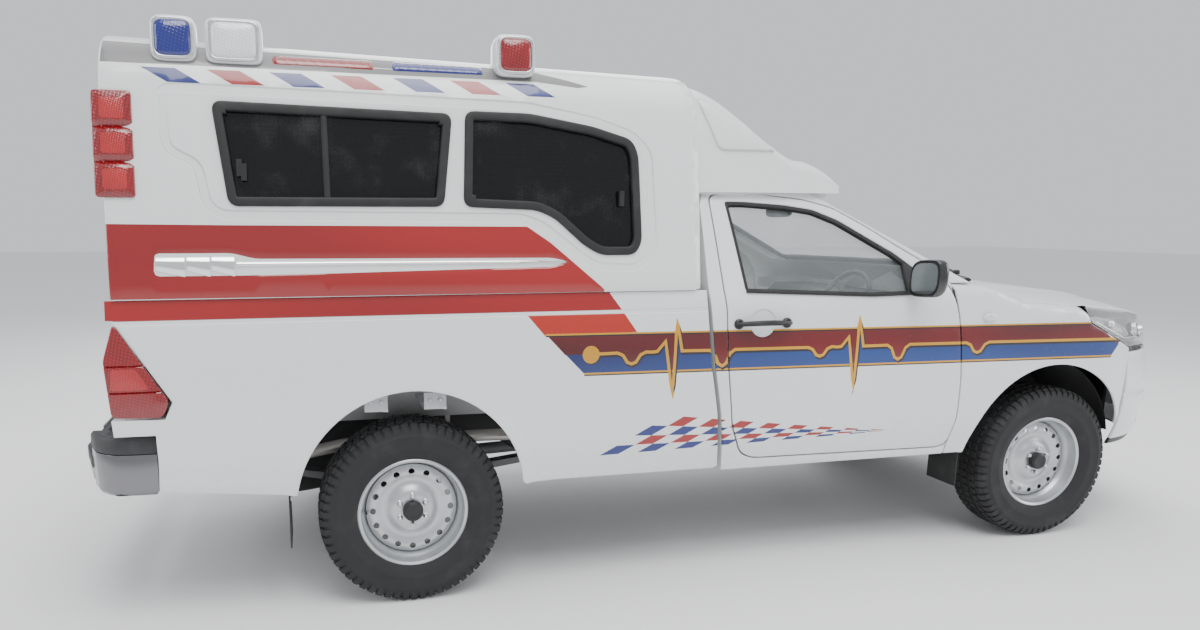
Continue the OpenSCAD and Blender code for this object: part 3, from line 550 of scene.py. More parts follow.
def finish_piece(name: str, shape: Shape, finishes: Sequence[bpy.types.Material], body: str,
                 stands_for: Sequence[str] = (), rounding: Rounding = Rounding.CRISP,
                 bevel: float = 0.0) -> bpy.types.Object:
    """Turns a shape into a piece that rides on a body.

    Args:
        name: The piece's name.
        shape: Its mesh.
        finishes: Its materials, in the order of the shape's numbers.
        body: The body that it moves with.
        stands_for: CAD nodes that it replaces.
        rounding: How its shading treats corners.
        bevel: Width of the rounding on its sharp edges, in metres.

    Returns:
        The finished object.
    """
    mesh = bpy.data.meshes.new(name)
    mesh.from_pydata(shape.points, [], shape.faces)
    mesh.polygons.foreach_set("material_index", shape.finishes)
    piece = bpy.data.objects.new(name, mesh)
    bpy.context.scene.collection.objects.link(piece)
    for finish in finishes:
        mesh.materials.append(finish)
    work = bmesh.new()
    work.from_mesh(mesh)
    bmesh.ops.remove_doubles(work, verts=work.verts, dist=2e-5)
    bmesh.ops.recalc_face_normals(work, faces=work.faces)
    work.to_mesh(mesh)
    work.free()
    if bevel:
        tool = piece.modifiers.new("edges", "BEVEL")
        tool.width = bevel
        tool.segments = 2
        tool.limit_method = "ANGLE"
        tool.angle_limit = math.radians(30)
        bake_modifiers(piece)
    piece.data.shade_smooth()
    piece.data.set_sharp_from_angle(angle=math.radians(rounding.value))
    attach(piece, body)
    if stands_for:
        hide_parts(*stands_for)
    LOG.info("%s on %s: %d faces", name, body, len(piece.data.polygons))
    return piece


def bake_modifiers(piece: bpy.types.Object) -> None:
    """Replaces a piece's mesh with what its modifiers make, and removes them."""
    bpy.context.view_layer.update()
    graph = bpy.context.evaluated_depsgraph_get()
    mesh = bpy.data.meshes.new_from_object(piece.evaluated_get(graph), preserve_all_data_layers=True,
                                           depsgraph=graph)
    piece.modifiers.clear()
    piece.data = mesh


# ---- Shaders ----


class Value:
    """A number or colour in a shader; arithmetic on it adds nodes."""

    def __init__(self, graph: "Graph", socket: bpy.types.NodeSocket) -> None:
        """Wraps one output socket of a graph."""
        self.graph = graph
        self.socket = socket

    def _maths(self, operation: str, *terms: "Value | float") -> "Value":
        """Adds a Math node."""
        return self.graph.node("ShaderNodeMath", {"operation": operation}, dict(enumerate(terms)))

    def __add__(self, other: "Value | float") -> "Value":
        """Sum."""
        return self._maths("ADD", self, other)

    __radd__ = __add__

    def __mul__(self, other: "Value | float") -> "Value":
        """Product."""
        return self._maths("MULTIPLY", self, other)

    __rmul__ = __mul__

    def __sub__(self, other: "Value | float") -> "Value":
        """Difference."""
        return self._maths("SUBTRACT", self, other)

    def __rsub__(self, other: "Value | float") -> "Value":
        """Difference from a number."""
        return self._maths("SUBTRACT", other, self)

    def __truediv__(self, other: "Value | float") -> "Value":
        """Quotient."""
        return self._maths("DIVIDE", self, other)

    def __rtruediv__(self, other: "Value | float") -> "Value":
        """A number over this value."""
        return self._maths("DIVIDE", other, self)

    def __abs__(self) -> "Value":
        """Size without sign."""
        return self._maths("ABSOLUTE", self)

    def over(self, limit: "Value | float") -> "Value":
        """One where this value is more than a limit, else zero."""
        return self._maths("GREATER_THAN", self, limit)

    def sine(self) -> "Value":
        """Sine of an angle in radians."""
        return self._maths("SINE", self)

    def ramp(self, low: float, high: float) -> "Value":
        """Rises smoothly from zero at one value to one at another."""
        return self.graph.node("ShaderNodeMapRange", {"interpolation_type": "SMOOTHSTEP"},
                               {"Value": self, "From Min": low, "From Max": high})

    def blend(self, first: "Value | Sequence[float]", second: "Value | Sequence[float]") -> "Value":
        """The first colour where this value is zero, the second where it is one."""
        return self.graph.node("ShaderNodeMix", {"data_type": "RGBA"}, {0: self, 6: first, 7: second}, 2)


class Graph:
    """A material's nodes, around one Principled shader."""

    def __init__(self, name: str) -> None:
        """Starts a material with a bare Principled shader."""
        self.material = bpy.data.materials.new(name)
        self.material.use_nodes = True
        self.tree = self.material.node_tree
        self.shader = self.tree.nodes["Principled BSDF"]
        self.place = Value(self, self.tree.nodes.new("ShaderNodeTexCoord").outputs["Object"])
        split = self.tree.nodes.new("ShaderNodeSeparateXYZ")
        self.tree.links.new(self.place.socket, split.inputs[0])
        self.x, self.y, self.z = (Value(self, s) for s in split.outputs)

    def node(self, kind: str, settings: dict, inputs: dict, output: int | str = 0) -> Value:
        """Adds any node.

        Args:
            kind: The node's type.
            settings: Its own settings, made before its sockets are filled.
            inputs: A value or a link for each socket, by name or number.
            output: Which output to return.

        Returns:
            The chosen output.
        """
        node = self.tree.nodes.new(kind)
        for key, value in settings.items():
            setattr(node, key, value)
        for key, value in inputs.items():
            if isinstance(value, Value):
                self.tree.links.new(value.socket, node.inputs[key])
            else:
                node.inputs[key].default_value = tuple(value) if hasattr(value, "__len__") else value
        return Value(self, node.outputs[output])

    def noise(self, scale: float, detail: float = 3.0, stretch: tuple[float, float, float] = (1, 1,
                                                                                              1)) -> Value:
        """A cloud of values around one half, with its size set in turns a metre."""
        where = self.node("ShaderNodeMapping", {}, {"Vector": self.place, "Scale": stretch})
        return self.node("ShaderNodeTexNoise", {}, {"Vector": where, "Scale": scale, "Detail": detail})

    def cells(self, scale: float) -> Value:
        """Distance to the nearest of many scattered points."""
        return self.node("ShaderNodeTexVoronoi", {}, {"Vector": self.place, "Scale": scale})

    def bump(self, height: Value, strength: float, distance: float) -> None:
        """Roughens the surface by a height."""
        out = self.node("ShaderNodeBump", {}, {"Height": height, "Strength": strength, "Distance": distance})
        self.tree.links.new(out.socket, self.shader.inputs["Normal"])

    def set(self, **inputs: "Value | float | Sequence[float]") -> None:
        """Sets or links the shader's sockets, with underscores for spaces in their names."""
        for key, value in inputs.items():
            socket = self.shader.inputs[key.replace("_", " ")]
            if isinstance(value, Value):
                self.tree.links.new(value.socket, socket)
            else:
                socket.default_value = value


@dataclass(frozen=True)
class Paint:
    """Glossy body paint: a flake, a slow drift of colour and dust towards the sills."""

    name: str
    colour: tuple[float, float, float]
    second: tuple[float, float, float] | None = None
    rough: float = 0.24
    coat: float = 0.7
    dust: float = 0.12

    def make(self) -> bpy.types.Material:
        """Builds the material."""
        g = Graph(self.name)
        deep = self.second or tuple(0.94 * c for c in self.colour)
        drift = g.noise(0.9, 2.0, (0.5, 1, 2.2)).ramp(0.35, 0.65)
        tint = drift.blend((*self.colour, 1), (*deep, 1))
        grime = (0.95 - g.z).ramp(0.25, 0.55) * g.noise(7, 5).ramp(0.42, 0.75) * self.dust
        g.set(Base_Color=grime.blend(tint, (0.36, 0.34, 0.31, 1)), Metallic=0.0, Coat_Weight=self.coat,
              Roughness=self.rough + 0.05 * g.noise(26, 4) + 0.4 * grime)
        g.shader.inputs["Coat Roughness"].default_value = 0.05
        g.bump(g.noise(160, 2), 0.05, 0.0006)
        return g.material


@dataclass(frozen=True)
class Plastic:
    """Moulded plastic or rubber with a fine grain and worn, paler high spots."""

    name: str
    colour: tuple[float, float, float]
    rough: float = 0.5
    grain: float = 700.0
    depth: float = 0.25
    coat: float = 0.0

    def make(self) -> bpy.types.Material:
        """Builds the material."""
        g = Graph(self.name)
        wear = g.noise(9, 5).ramp(0.5, 0.8)
        pale = tuple(min(1, c * 1.5 + 0.01) for c in self.colour)
        g.set(Base_Color=wear.blend((*self.colour, 1), (*pale, 1)), Coat_Weight=self.coat,
              Roughness=self.rough + 0.12 * g.noise(30, 3) - 0.05)
        g.bump(g.cells(self.grain), self.depth, 0.0004)
        return g.material


@dataclass(frozen=True)
class Metal:
    """Bare, plated or painted metal with faint streaks and a cast or rolled surface."""

    name: str
    colour: tuple[float, float, float]
    rough: float = 0.3
    metallic: float = 1.0
    grain: float = 120.0
    depth: float = 0.1
    stain: tuple[float, float, float] = (0.16, 0.12, 0.09)
    stained: float = 0.15

    def make(self) -> bpy.types.Material:
        """Builds the material."""
        g = Graph(self.name)
        spots = g.noise(5, 6).ramp(0.55, 0.8) * self.stained
        g.set(Base_Color=spots.blend((*self.colour, 1), (*self.stain, 1)), Metallic=self.metallic,
              Roughness=self.rough + 0.15 * g.noise(40, 4, (1, 1, 6)) + 0.3 * spots)
        g.bump(g.noise(self.grain, 5), self.depth, 0.001)
        return g.material


@dataclass(frozen=True)
class Glass:
    """Clear or tinted glass, with a film of dust and, on tinted panes, a fine mesh."""

    name: str
    colour: tuple[float, float, float]
    clear: float = 0.9
    rough: float = 0.02
    mesh: float = 0.0

    def make(self) -> bpy.types.Material:
        """Builds the material."""
        g = Graph(self.name)
        film = g.noise(6, 5).ramp(0.5, 0.85)
        opaque = 1 - self.clear
        g.set(Base_Color=film.blend((*self.colour, 1), (*[min(1, c + 0.03) for c in self.colour], 1)),
              Roughness=self.rough + 0.04 * film, Coat_Weight=0.0 if self.mesh else 0.6)
        if self.mesh:
            pitch = self.mesh
            holes = (((g.x + g.z) * (math.pi / pitch)).sine() * ((g.x - g.z) * (math.pi / pitch)).sine())
            seen = opaque + 0.22 * holes.over(0.25)
        else:
            seen = opaque + 0.05 * film
        g.set(Alpha=seen)
        g.shader.inputs["IOR"].default_value = 1.5
        g.shader.inputs["Specular IOR Level"].default_value = 0.3 if self.mesh else 0.7
        g.material.surface_render_method = "BLENDED"
        return g.material


@dataclass(frozen=True)
class Lens:
    """Ribbed coloured lamp lens over a bright pot."""

    name: str
    colour: tuple[float, float, float]
    deep: tuple[float, float, float]
    rib: float = 0.012
    clear: float = 0.0
    glow: float = 0.0

    def make(self) -> bpy.types.Material:
        """Builds the material."""
        g = Graph(self.name)
        ribs = ((g.x * 0.35 + g.z) * (2 * math.pi / self.rib)).sine() * 0.5 + 0.5
        cross = ((g.x - g.z * 0.2) * (2 * math.pi / self.rib)).sine() * 0.5 + 0.5
        facet = ribs * cross
        tint = (facet * 0.6 + g.noise(14, 2) * 0.4).blend((*self.deep, 1), (*self.colour, 1))
        g.set(Base_Color=tint, Roughness=0.12, Coat_Weight=1.0, Emission_Color=tint)
        g.set(Alpha=1 - self.clear * (1 - 0.3 * facet))
        g.shader.inputs["Emission Strength"].default_value = self.glow
        g.shader.inputs["Coat Roughness"].default_value = 0.03
        g.bump(facet, 0.35, 0.002)
        return g.material


@dataclass(frozen=True)
class Cloth:
    """Woven or stitched covering."""

    name: str
    colour: tuple[float, float, float]
    thread: float = 0.0022
    rough: float = 0.85

    def make(self) -> bpy.types.Material:
        """Builds the material."""
        g = Graph(self.name)
        turn = 2 * math.pi / self.thread
        weave = (g.y * turn).sine() * ((g.x + g.z) * turn).sine() * 0.5 + 0.5
        pale = tuple(min(1, c * 1.9 + 0.015) for c in self.colour)
        mix = weave * 0.6 + g.noise(18, 5) * 0.4
        g.set(Base_Color=mix.blend((*self.colour, 1), (*pale, 1)), Roughness=self.rough)
        g.shader.inputs["Sheen Weight"].default_value = 0.3
        g.bump(weave, 0.3, 0.0008)
        return g.material


class Finishes:
    """Every finish of the vehicle, made once."""

    def __init__(self) -> None:
        """Builds the materials."""
        self.white = Paint("body_paint", (0.80, 0.82, 0.82), (0.76, 0.79, 0.79)).make()
        self.shell = Paint("moulded_shell", (0.80, 0.81, 0.80), (0.77, 0.79, 0.78), rough=0.28).make()
        self.red = Paint("band_red", (0.34, 0.008, 0.007), (0.24, 0.005, 0.006), rough=0.2, dust=0.0).make()
        self.orange = Paint("band_orange", (0.46, 0.022, 0.008), (0.38, 0.014, 0.006), dust=0.0).make()
        self.maroon = Paint("stripe_maroon", (0.18, 0.003, 0.004), (0.035, 0.002, 0.003), dust=0.0).make()
        self.blue = Paint("stripe_blue", (0.008, 0.050, 0.24), (0.004, 0.005, 0.07), dust=0.0).make()
        self.yellow = Paint("line_yellow", (0.66, 0.33, 0.012), (0.52, 0.24, 0.010), dust=0.0).make()
        self.ink = Paint("line_ink", (0.016, 0.012, 0.018), dust=0.0).make()
        self.grey = Paint("roof_grey", (0.12, 0.118, 0.12), (0.17, 0.167, 0.17), rough=0.3).make()
        self.groove = Paint("groove_grey", (0.14, 0.155, 0.15), (0.11, 0.125, 0.12), rough=0.3).make()
        self.check_red = Paint("check_red", (0.34, 0.006, 0.005), dust=0.0).make()
        self.check_blue = Paint("check_blue", (0.004, 0.018, 0.17), dust=0.0).make()
        self.black = Plastic("black_trim", (0.014, 0.014, 0.015), 0.42).make()
        self.gloss_black = Plastic("gloss_black", (0.012, 0.012, 0.013), 0.15, depth=0.05, coat=0.8).make()
        self.grained = Plastic("grained_plastic", (0.03, 0.03, 0.032), 0.55, 420, 0.4).make()
        self.rubber = Plastic("tyre_rubber", (0.016, 0.016, 0.0165), 0.72, 260, 0.35).make()
        self.flap = Plastic("flap_rubber", (0.018, 0.018, 0.018), 0.68, 300, 0.35).make()
        self.seal = Plastic("seal_rubber", (0.012, 0.012, 0.012), 0.6, 500, 0.3).make()
        self.silver = Metal("wheel_paint", (0.55, 0.57, 0.58), 0.3, 0.85, 200, 0.06, stained=0.2).make()
        self.chrome = Metal("chrome", (0.86, 0.87, 0.88), 0.05, 1.0, 60, 0.02, stained=0.03).make()
        self.satin = Metal("satin_chrome", (0.62, 0.63, 0.64), 0.22, 1.0, 90, 0.04, stained=0.05).make()
        self.zinc = Metal("galvanised", (0.50, 0.51, 0.52), 0.42, 0.9, 70, 0.25).make()
        self.frame = Metal("frame_paint", (0.02, 0.02, 0.021), 0.5, 0.1, 90, 0.3, stained=0.35).make()
        self.cast = Metal("cast_metal", (0.16, 0.16, 0.165), 0.55, 0.7, 240, 0.5, stained=0.5).make()
        self.steel = Metal("exhaust_steel", (0.42, 0.40, 0.37), 0.38, 1.0, 120, 0.2, stained=0.5).make()
        self.clear = Glass("clear_glass", (0.52, 0.58, 0.58), 0.88).make()
        self.tint = Glass("tinted_glass", (0.006, 0.0065, 0.007), 0.10, 0.05, mesh=0.016).make()
        self.cover = Glass("lamp_cover", (0.80, 0.83, 0.84), 0.86, 0.03).make()
        self.lamp_red = Lens("red_lens", (0.42, 0.004, 0.008), (0.11, 0.001, 0.002), glow=0.05).make()
        self.lamp_deep = Lens("deep_red_lens", (0.60, 0.03, 0.03), (0.24, 0.004, 0.005), 0.008,
                              glow=0.08).make()
        self.dark_chrome = Metal("dark_chrome", (0.22, 0.22, 0.23), 0.12, 1.0, 60, 0.03, stained=0.1).make()
        self.lamp_blue = Lens("blue_lens", (0.006, 0.022, 0.30), (0.003, 0.006, 0.10), glow=0.05).make()
        self.lamp_orange = Lens("bar_red_lens", (0.38, 0.012, 0.006), (0.20, 0.005, 0.003), glow=0.04).make()
        self.lamp_clear = Lens("clear_lens", (0.86, 0.88, 0.90), (0.60, 0.63, 0.66), glow=0.1).make()
        self.mirror = Metal("mirror_glass", (0.80, 0.82, 0.84), 0.02, 1.0, 40, 0.0, stained=0.0).make()
        self.fabric = Cloth("seat_fabric", (0.035, 0.036, 0.04)).make()
        self.vinyl = Plastic("bench_vinyl", (0.34, 0.37, 0.40), 0.38, 320, 0.3).make()
        self.lining = Plastic("pale_lining", (0.52, 0.53, 0.52), 0.5, 240, 0.2).make()


# ---- The vehicle's own surfaces, in metres ----

REAR_X = float((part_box("tyre_rear_left")[0].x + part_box("tyre_rear_left")[1].x) / 2)
FRONT_X = float((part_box("tyre_front_left")[0].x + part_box("tyre_front_left")[1].x) / 2)
AXLE_Z = float((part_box("tyre_rear_left")[0].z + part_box("tyre_rear_left")[1].z) / 2)
HALF_W = 0.9
TAIL_X = REAR_X - 1.05
CAB_BACK = FRONT_X - 1.838
CANOPY_FRONT = CAB_BACK - 0.038
BELT_Z = 1.25
CAB_TOP = 1.735
TUCK = mm([(430, 58), (520, 34), (600, 15), (700, 4), (800, 0), (1000, 1), (1100, 8), (1180, 15), (1250, 26)])


def smooth_curve(points: Points, samples: int = 400) -> Points:
    """A smooth curve through points, sampled evenly enough to be looked up."""
    p = np.vstack([2 * points[0] - points[1], points, 2 * points[-1] - points[-2]])
    knots = np.concatenate([[0], np.cumsum(np.linalg.norm(np.diff(p, axis=0), axis=1) ** 0.5)])
    out = []
    for t in np.linspace(knots[1], knots[-2], samples):
        i = int(np.clip(np.searchsorted(knots, t) - 1, 1, len(p) - 3))
        k0, k1, k2, k3 = knots[i - 1:i + 3]
        a1 = (k1 - t) / (k1 - k0) * p[i - 1] + (t - k0) / (k1 - k0) * p[i]
        a2 = (k2 - t) / (k2 - k1) * p[i] + (t - k1) / (k2 - k1) * p[i + 1]
        a3 = (k3 - t) / (k3 - k2) * p[i + 1] + (t - k2) / (k3 - k2) * p[i + 2]
        b1 = (k2 - t) / (k2 - k0) * a1 + (t - k0) / (k2 - k0) * a2
        b2 = (k3 - t) / (k3 - k1) * a2 + (t - k1) / (k3 - k1) * a3
        out.append((k2 - t) / (k2 - k1) * b1 + (t - k1) / (k2 - k1) * b2)
    return np.array(out)


TUCK_CURVE = smooth_curve(TUCK)


def side_y(z: np.ndarray | float) -> np.ndarray:
    """Half width of the body at a height."""
    return HALF_W - np.interp(z, TUCK_CURVE[:, 0], TUCK_CURVE[:, 1])


class Section:
    """A cross-section of the body from its lower edge to the middle of the roof."""

    def __init__(self, points: Points) -> None:
        """Measures a smooth curve through points of half width and height."""
        self.curve = smooth_curve(points, 900)
        steps = np.linalg.norm(np.diff(self.curve, axis=0), axis=1)
        self.run = np.concatenate([[0], np.cumsum(steps)])
        self.full = float(self.run[-1])

    def at_height(self, z: np.ndarray | float) -> np.ndarray:
        """Distance along the section at which it reaches a height."""
        return np.interp(z, self.curve[:, 1], self.run)

    def place(self, along: np.ndarray) -> tuple[np.ndarray, np.ndarray]:
        """Half width and height at a distance along the section; past the roof's middle it goes down."""
        far = along > self.full
        s = np.where(far, 2 * self.full - along, along)
        y = np.interp(s, self.run, self.curve[:, 0])
        return np.where(far, -y, y), np.interp(s, self.run, self.curve[:, 1])

    def unroll(self, outline: Points) -> Points:
        """Turns an outline of X and height into X and distance along the section."""
        out = outline.copy()
        out[:, 1] = self.at_height(outline[:, 1])
        return out

    def far_side(self, outline: Points) -> Points:
        """The same unrolled outline on the vehicle's other side."""
        out = outline.copy()
        out[:, 1] = 2 * self.full - outline[:, 1]
        return out


CAB_SECTION = Section(np.vstack([
    [[float(side_y(z)), z] for z in (0.46, 0.49, 0.52, 0.56, 0.6, 0.65, 0.7, 0.8, 0.9, 1.0, 1.1, 1.18)],
    mm([(856, 1250), (665, 1650), (632, 1683), (550, 1707), (300, 1729), (0, 1735)])]))
CANOPY_SECTION = Section(mm([(884, 1250.3), (886, 1275), (882, 1330), (802, 1940), (780, 2030), (740, 2090),
                             (685, 2130), (600, 2158), (350, 2185), (0, 2195)]))
CORNER = 0.045
PITCH = math.radians(1.5)
PITCH_X = (TAIL_X + CANOPY_FRONT) / 2


def cab_surface(p: Points) -> Points:
    """The cab's skin, from X and distance along its section."""
    y, z = CAB_SECTION.place(p[:, 1])
    return np.stack([p[:, 0], y, z], 1)


def bed_surface(p: Points) -> Points:
    """The bed's side, from X and height."""
    return np.stack([p[:, 0], side_y(p[:, 1]), p[:, 1]], 1)


def canopy_surface(p: Points) -> Points:
    """The canopy's skin, which falls gently towards the front, from X and distance along its section."""
    y, z = CANOPY_SECTION.place(p[:, 1])
    y2, z2 = CANOPY_SECTION.place(p[:, 1] + 1e-3)
    run = np.hypot(y2 - y, z2 - z) + 1e-12
    turn = np.clip(p[:, 0] - (CANOPY_FRONT - CORNER), 0, 0.985 * CORNER)
    depth = CORNER - np.sqrt(CORNER ** 2 - turn ** 2)
    drop = np.clip((z - BELT_Z) / 0.15, 0, 1) * math.tan(PITCH)
    inner_y = y - depth * (z2 - z) / run
    inner_z = z + depth * (y2 - y) / run
    return np.stack([p[:, 0], inner_y, inner_z - (p[:, 0] - PITCH_X) * drop], 1)


def canopy_flat(points: Points) -> Points:
    """Turns places seen from the side into places on the unrolled canopy."""
    out = points.copy()
    z = points[:, 1]
    for _ in range(3):
        drop = np.clip((z - BELT_Z) / 0.15, 0, 1) * math.tan(PITCH)
        z = points[:, 1] + (points[:, 0] - PITCH_X) * drop
    out[:, 1] = CANOPY_SECTION.at_height(z)
    return out


SCREEN_R = 2.6
SCREEN_TOP = (FRONT_X - 1.155, CAB_TOP - 0.035)
SCREEN_FOOT = (FRONT_X - 0.225, 1.275)
SCREEN_TILT = math.atan2(SCREEN_FOOT[0] - SCREEN_TOP[0], SCREEN_TOP[1] - SCREEN_FOOT[1])


def screen_x(y: np.ndarray, z: np.ndarray, depth: float = 0.0) -> np.ndarray:
    """How far forward the windscreen lies at a half width and height."""
    bow = np.sqrt(np.maximum((SCREEN_R - depth) ** 2 - y * y, 0)) - SCREEN_R
    slide = (z - SCREEN_TOP[1] - bow * math.sin(SCREEN_TILT)) / math.cos(SCREEN_TILT)
    return SCREEN_TOP[0] + bow * math.cos(SCREEN_TILT) - slide * math.sin(SCREEN_TILT)


def screen_surface(p: Points) -> Points:
    """The windscreen's plane, from Y and Z."""
    return np.stack([screen_x(p[:, 0], p[:, 1]), p[:, 0], p[:, 1]], 1)


def sunk(surface: Surface, depth: float) -> Surface:
    """A surface that lies inside another one, measured towards the vehicle's middle plane."""
    def placed(p: Points) -> Points:
        """The outer surface's points, moved in along its normals."""
        step = 1e-4
        here = surface(p)
        normal = np.cross(surface(p + [step, 0]) - here, surface(p + [0, step]) - here)
        normal /= np.maximum(np.linalg.norm(normal, axis=1, keepdims=True), 1e-12)
        outwards = 1.0 if np.sum(normal * (here - np.array([0, 0, 0.9]))) > 0 else -1.0
        return here - depth * outwards * normal
    return placed


def grown(points: Points, distance: float) -> Points:
    """A closed outline made larger by a distance."""
    return offset(points, -distance if signed_area(points) > 0 else distance)


SHUT = 0.006
DOOR_LINE = mm([(-1765, 1640), (-1700, 1650), (-1505, 1646), (-1312, 1627), (-1177, 1592), (-1025, 1510),
                (-870, 1415), (-735, 1338), (-650, 1238), (-612, 1108), (-583, 838), (-577, 640), (-598, 518),
                (-640, 500), (-1600, 512), (-1662, 540), (-1715, 665), (-1752, 950), (-1765, 1240)], FRONT_X)
WINDOW_LINE = mm([(-1697, 1618), (-1600, 1617), (-1408, 1604), (-1275, 1585), (-1158, 1540), (-1025, 1463),
                  (-908, 1396), (-831, 1338), (-770, 1290), (-757, 1219), (-1062, 1214), (-1668,
                                                                                          1240)], FRONT_X)
LEAN = mm([(460, 98), (730, 63), (930, 26), (1170, 4), (1250, 0), (1600, 22), (1727, 70), (1800, 90)])
SLIDE_LINE = mm([(-680, 1940), (168, 1922), (128, 1590), (-635, 1587)], REAR_X)
FIXED_LINE = mm([(234, 1934), (480, 1932), (740, 1890), (896, 1845), (920, 1790), (928, 1450), (900, 1405),
                 (762, 1405), (695, 1442), (575, 1548), (500, 1580), (218, 1590)], REAR_X)
ARCH = {"rear": (REAR_X, 0.435, 0.450), "front": (FRONT_X - 0.040, 0.420, 0.452)}


def arc(centre: tuple[float, float, float], start: float, end: float, count: int = 40) -> Points:
    """Points along a circle given as X, height and radius, between two angles in degrees."""
    a = np.radians(np.linspace(start, end, count))
    return np.stack([centre[0] + centre[2] * np.cos(a), centre[1] + centre[2] * np.sin(a)], 1)


class Livery:
    """The painted bands, stripes, pulse line and chequers, as seen from the side."""

    RED, ORANGE, MAROON, BLUE, YELLOW, INK, CHECK_RED, CHECK_BLUE = range(1, 9)

    def finishes(self, f: Finishes, base: bpy.types.Material) -> list[bpy.types.Material]:
        """A panel's own finish followed by the livery's, in the order of their numbers."""
        return [base, f.red, f.orange, f.maroon, f.blue, f.yellow, f.ink, f.check_red, f.check_blue]

    def pulse(self) -> Points:
        """The heartbeat line, from the dot to the headlamp."""
        def dip(x: float, low: float, half: float) -> list[tuple[float, float]]:
            """A rounded dip in the line."""
            base = 1004 - 7 * (x - 900) / 1000
            shape = ((-1, 0), (-0.62, -0.22), (-0.3, -0.85), (0, -1), (0.3, -0.85), (0.62, -0.22), (1, 0))
            return [(x + half * u, base + (base - low) * v) for u, v in shape]

        def beat(x: float, base: float) -> list[tuple[float, float]]:
            """A short rise, a deep fall and a high peak."""
            return [(x - 92, base), (x - 72, base + 2), (x - 36, base + 42), (x, base - 192),
                    (x + 14, base + 134), (x + 38, base), (x + 70, base)]

        points = [(740, 1003), *dip(894, 957, 62), *beat(1078, 1003), *dip(1300, 933, 58),
                  *dip(1763, 958, 58),
                  *beat(1940, 995), *dip(2158, 930, 58), *dip(2577, 946, 62), (3395, 984)]
        return mm(points, REAR_X)

    def patches(self, low_x: float, high_x: float, flatten: Surface) -> list[Patch]:
        """The paint on a panel.

        Args:
            low_x: The panel's rear end.
            high_x: Its front end.
            flatten: Turns a place seen from the side into a place on the panel's plane.

        Returns:
            The patches that reach the panel, the uppermost last.
        """
        band = mm([(-1200, 1171), (857, 1171), (790, 1262), (-1200, 1262)], REAR_X)
        flag = mm([(450, 1171), (857, 1171), (917, 1087), (524, 1085)], REAR_X)
        stripe = mm([(532, 1086), (3235, 1065), (3388, 954), (3350, 904), (690, 924)], REAR_X)
        line = self.pulse()
        upper = np.vstack([stripe[:2], mm([(3388, 954)], REAR_X), line[::-1], mm([(610, 1003)], REAR_X)])
        dot = arc((REAR_X + 0.719, 1.001, 0.036), 0, 342, 20)
        out = [Patch(band, self.RED), Patch(flag, self.ORANGE), Patch(stripe, self.BLUE),
               Patch(upper, self.MAROON)]
        edges = [stripe[:2], stripe[[4, 3]]]
        out += [Stroke(e - [0, 0.004], self.INK, width=0.010) for e in edges]
        out += [Stroke(e, self.YELLOW, width=0.007) for e in edges]
        out += [Stroke(line + [0.004, -0.007], self.INK, width=0.018), Patch(dot + [0.004, -0.005], self.INK),
                Stroke(line, self.YELLOW, width=0.0125), Patch(dot, self.YELLOW)]
        out += self.chequers()
        seen = []
        for patch in out:
            if patch.outline[:, 0].max() > low_x and patch.outline[:, 0].min() < high_x:
                patch.outline = flatten(densify(patch.outline, 0.06, not isinstance(patch, Stroke)))
                seen.append(patch)
        return seen

    def chequers(self) -> list[Patch]:
        """Four rows of slanted squares that narrow towards the front."""
        def corner(column: float, row: float) -> tuple[float, float]:
            """A corner of the pattern by column and row."""
            t = column / 17
            return (770 + 84 * column + 75 * row * (1 - t), 572 + 28 * t + 40 * row * (1 - t) ** 1.1)

        out = []
        for row in range(4):
            for column in range(row % 2, 16, 2):
                square = [corner(column, row), corner(column + 1, row), corner(column + 1, row + 1),
                          corner(column, row + 1)]
                out.append(Patch(mm(square, REAR_X), self.CHECK_BLUE if row % 2 == 0 else self.CHECK_RED))
        return out


def core_piece(node: str, finish: bpy.types.Material, body: str, inset: float = 0.003,
               name: str | None = None, extra: Sequence[str] = (),
               reshape: Callable[[Vector], Vector] | None = None) -> bpy.types.Object:
    """The hidden structure behind a panel's skin: the frame's own solid, drawn in a little.

    Args:
        node: The CAD node that it copies and replaces.
        finish: Its material.
        body: The body that it moves with.
        inset: How far its faces lie inside the node's.
        name: Its name, if not the node's own with _core.
        extra: Other nodes that it replaces.
        reshape: Moves each of its points, where its skin is rounder than the node.

    Returns:
        The finished object.
    """
    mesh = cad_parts[node].data.copy()
    mesh.name = name or node + "_core"
    work = bmesh.new()
    work.from_mesh(mesh)
    bmesh.ops.remove_doubles(work, verts=work.verts, dist=2e-5)
    bmesh.ops.dissolve_degenerate(work, edges=work.edges, dist=1e-5)
    work.normal_update()
    moved = [v.co - v.normal * inset for v in work.verts]
    if reshape:
        moved = [reshape(co) for co in moved]
    for v, co in zip(work.verts, moved):
        v.co = co
    work.to_mesh(mesh)
    work.free()
    mesh.materials.clear()
    mesh.materials.append(finish)
    mesh.polygons.foreach_set("material_index", [0] * len(mesh.polygons))
    piece = bpy.data.objects.new(mesh.name, mesh)
    bpy.context.scene.collection.objects.link(piece)
    mesh.shade_smooth()
    mesh.set_sharp_from_angle(angle=math.radians(20))
    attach(piece, body)
    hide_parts(node, *extra)
    return piece


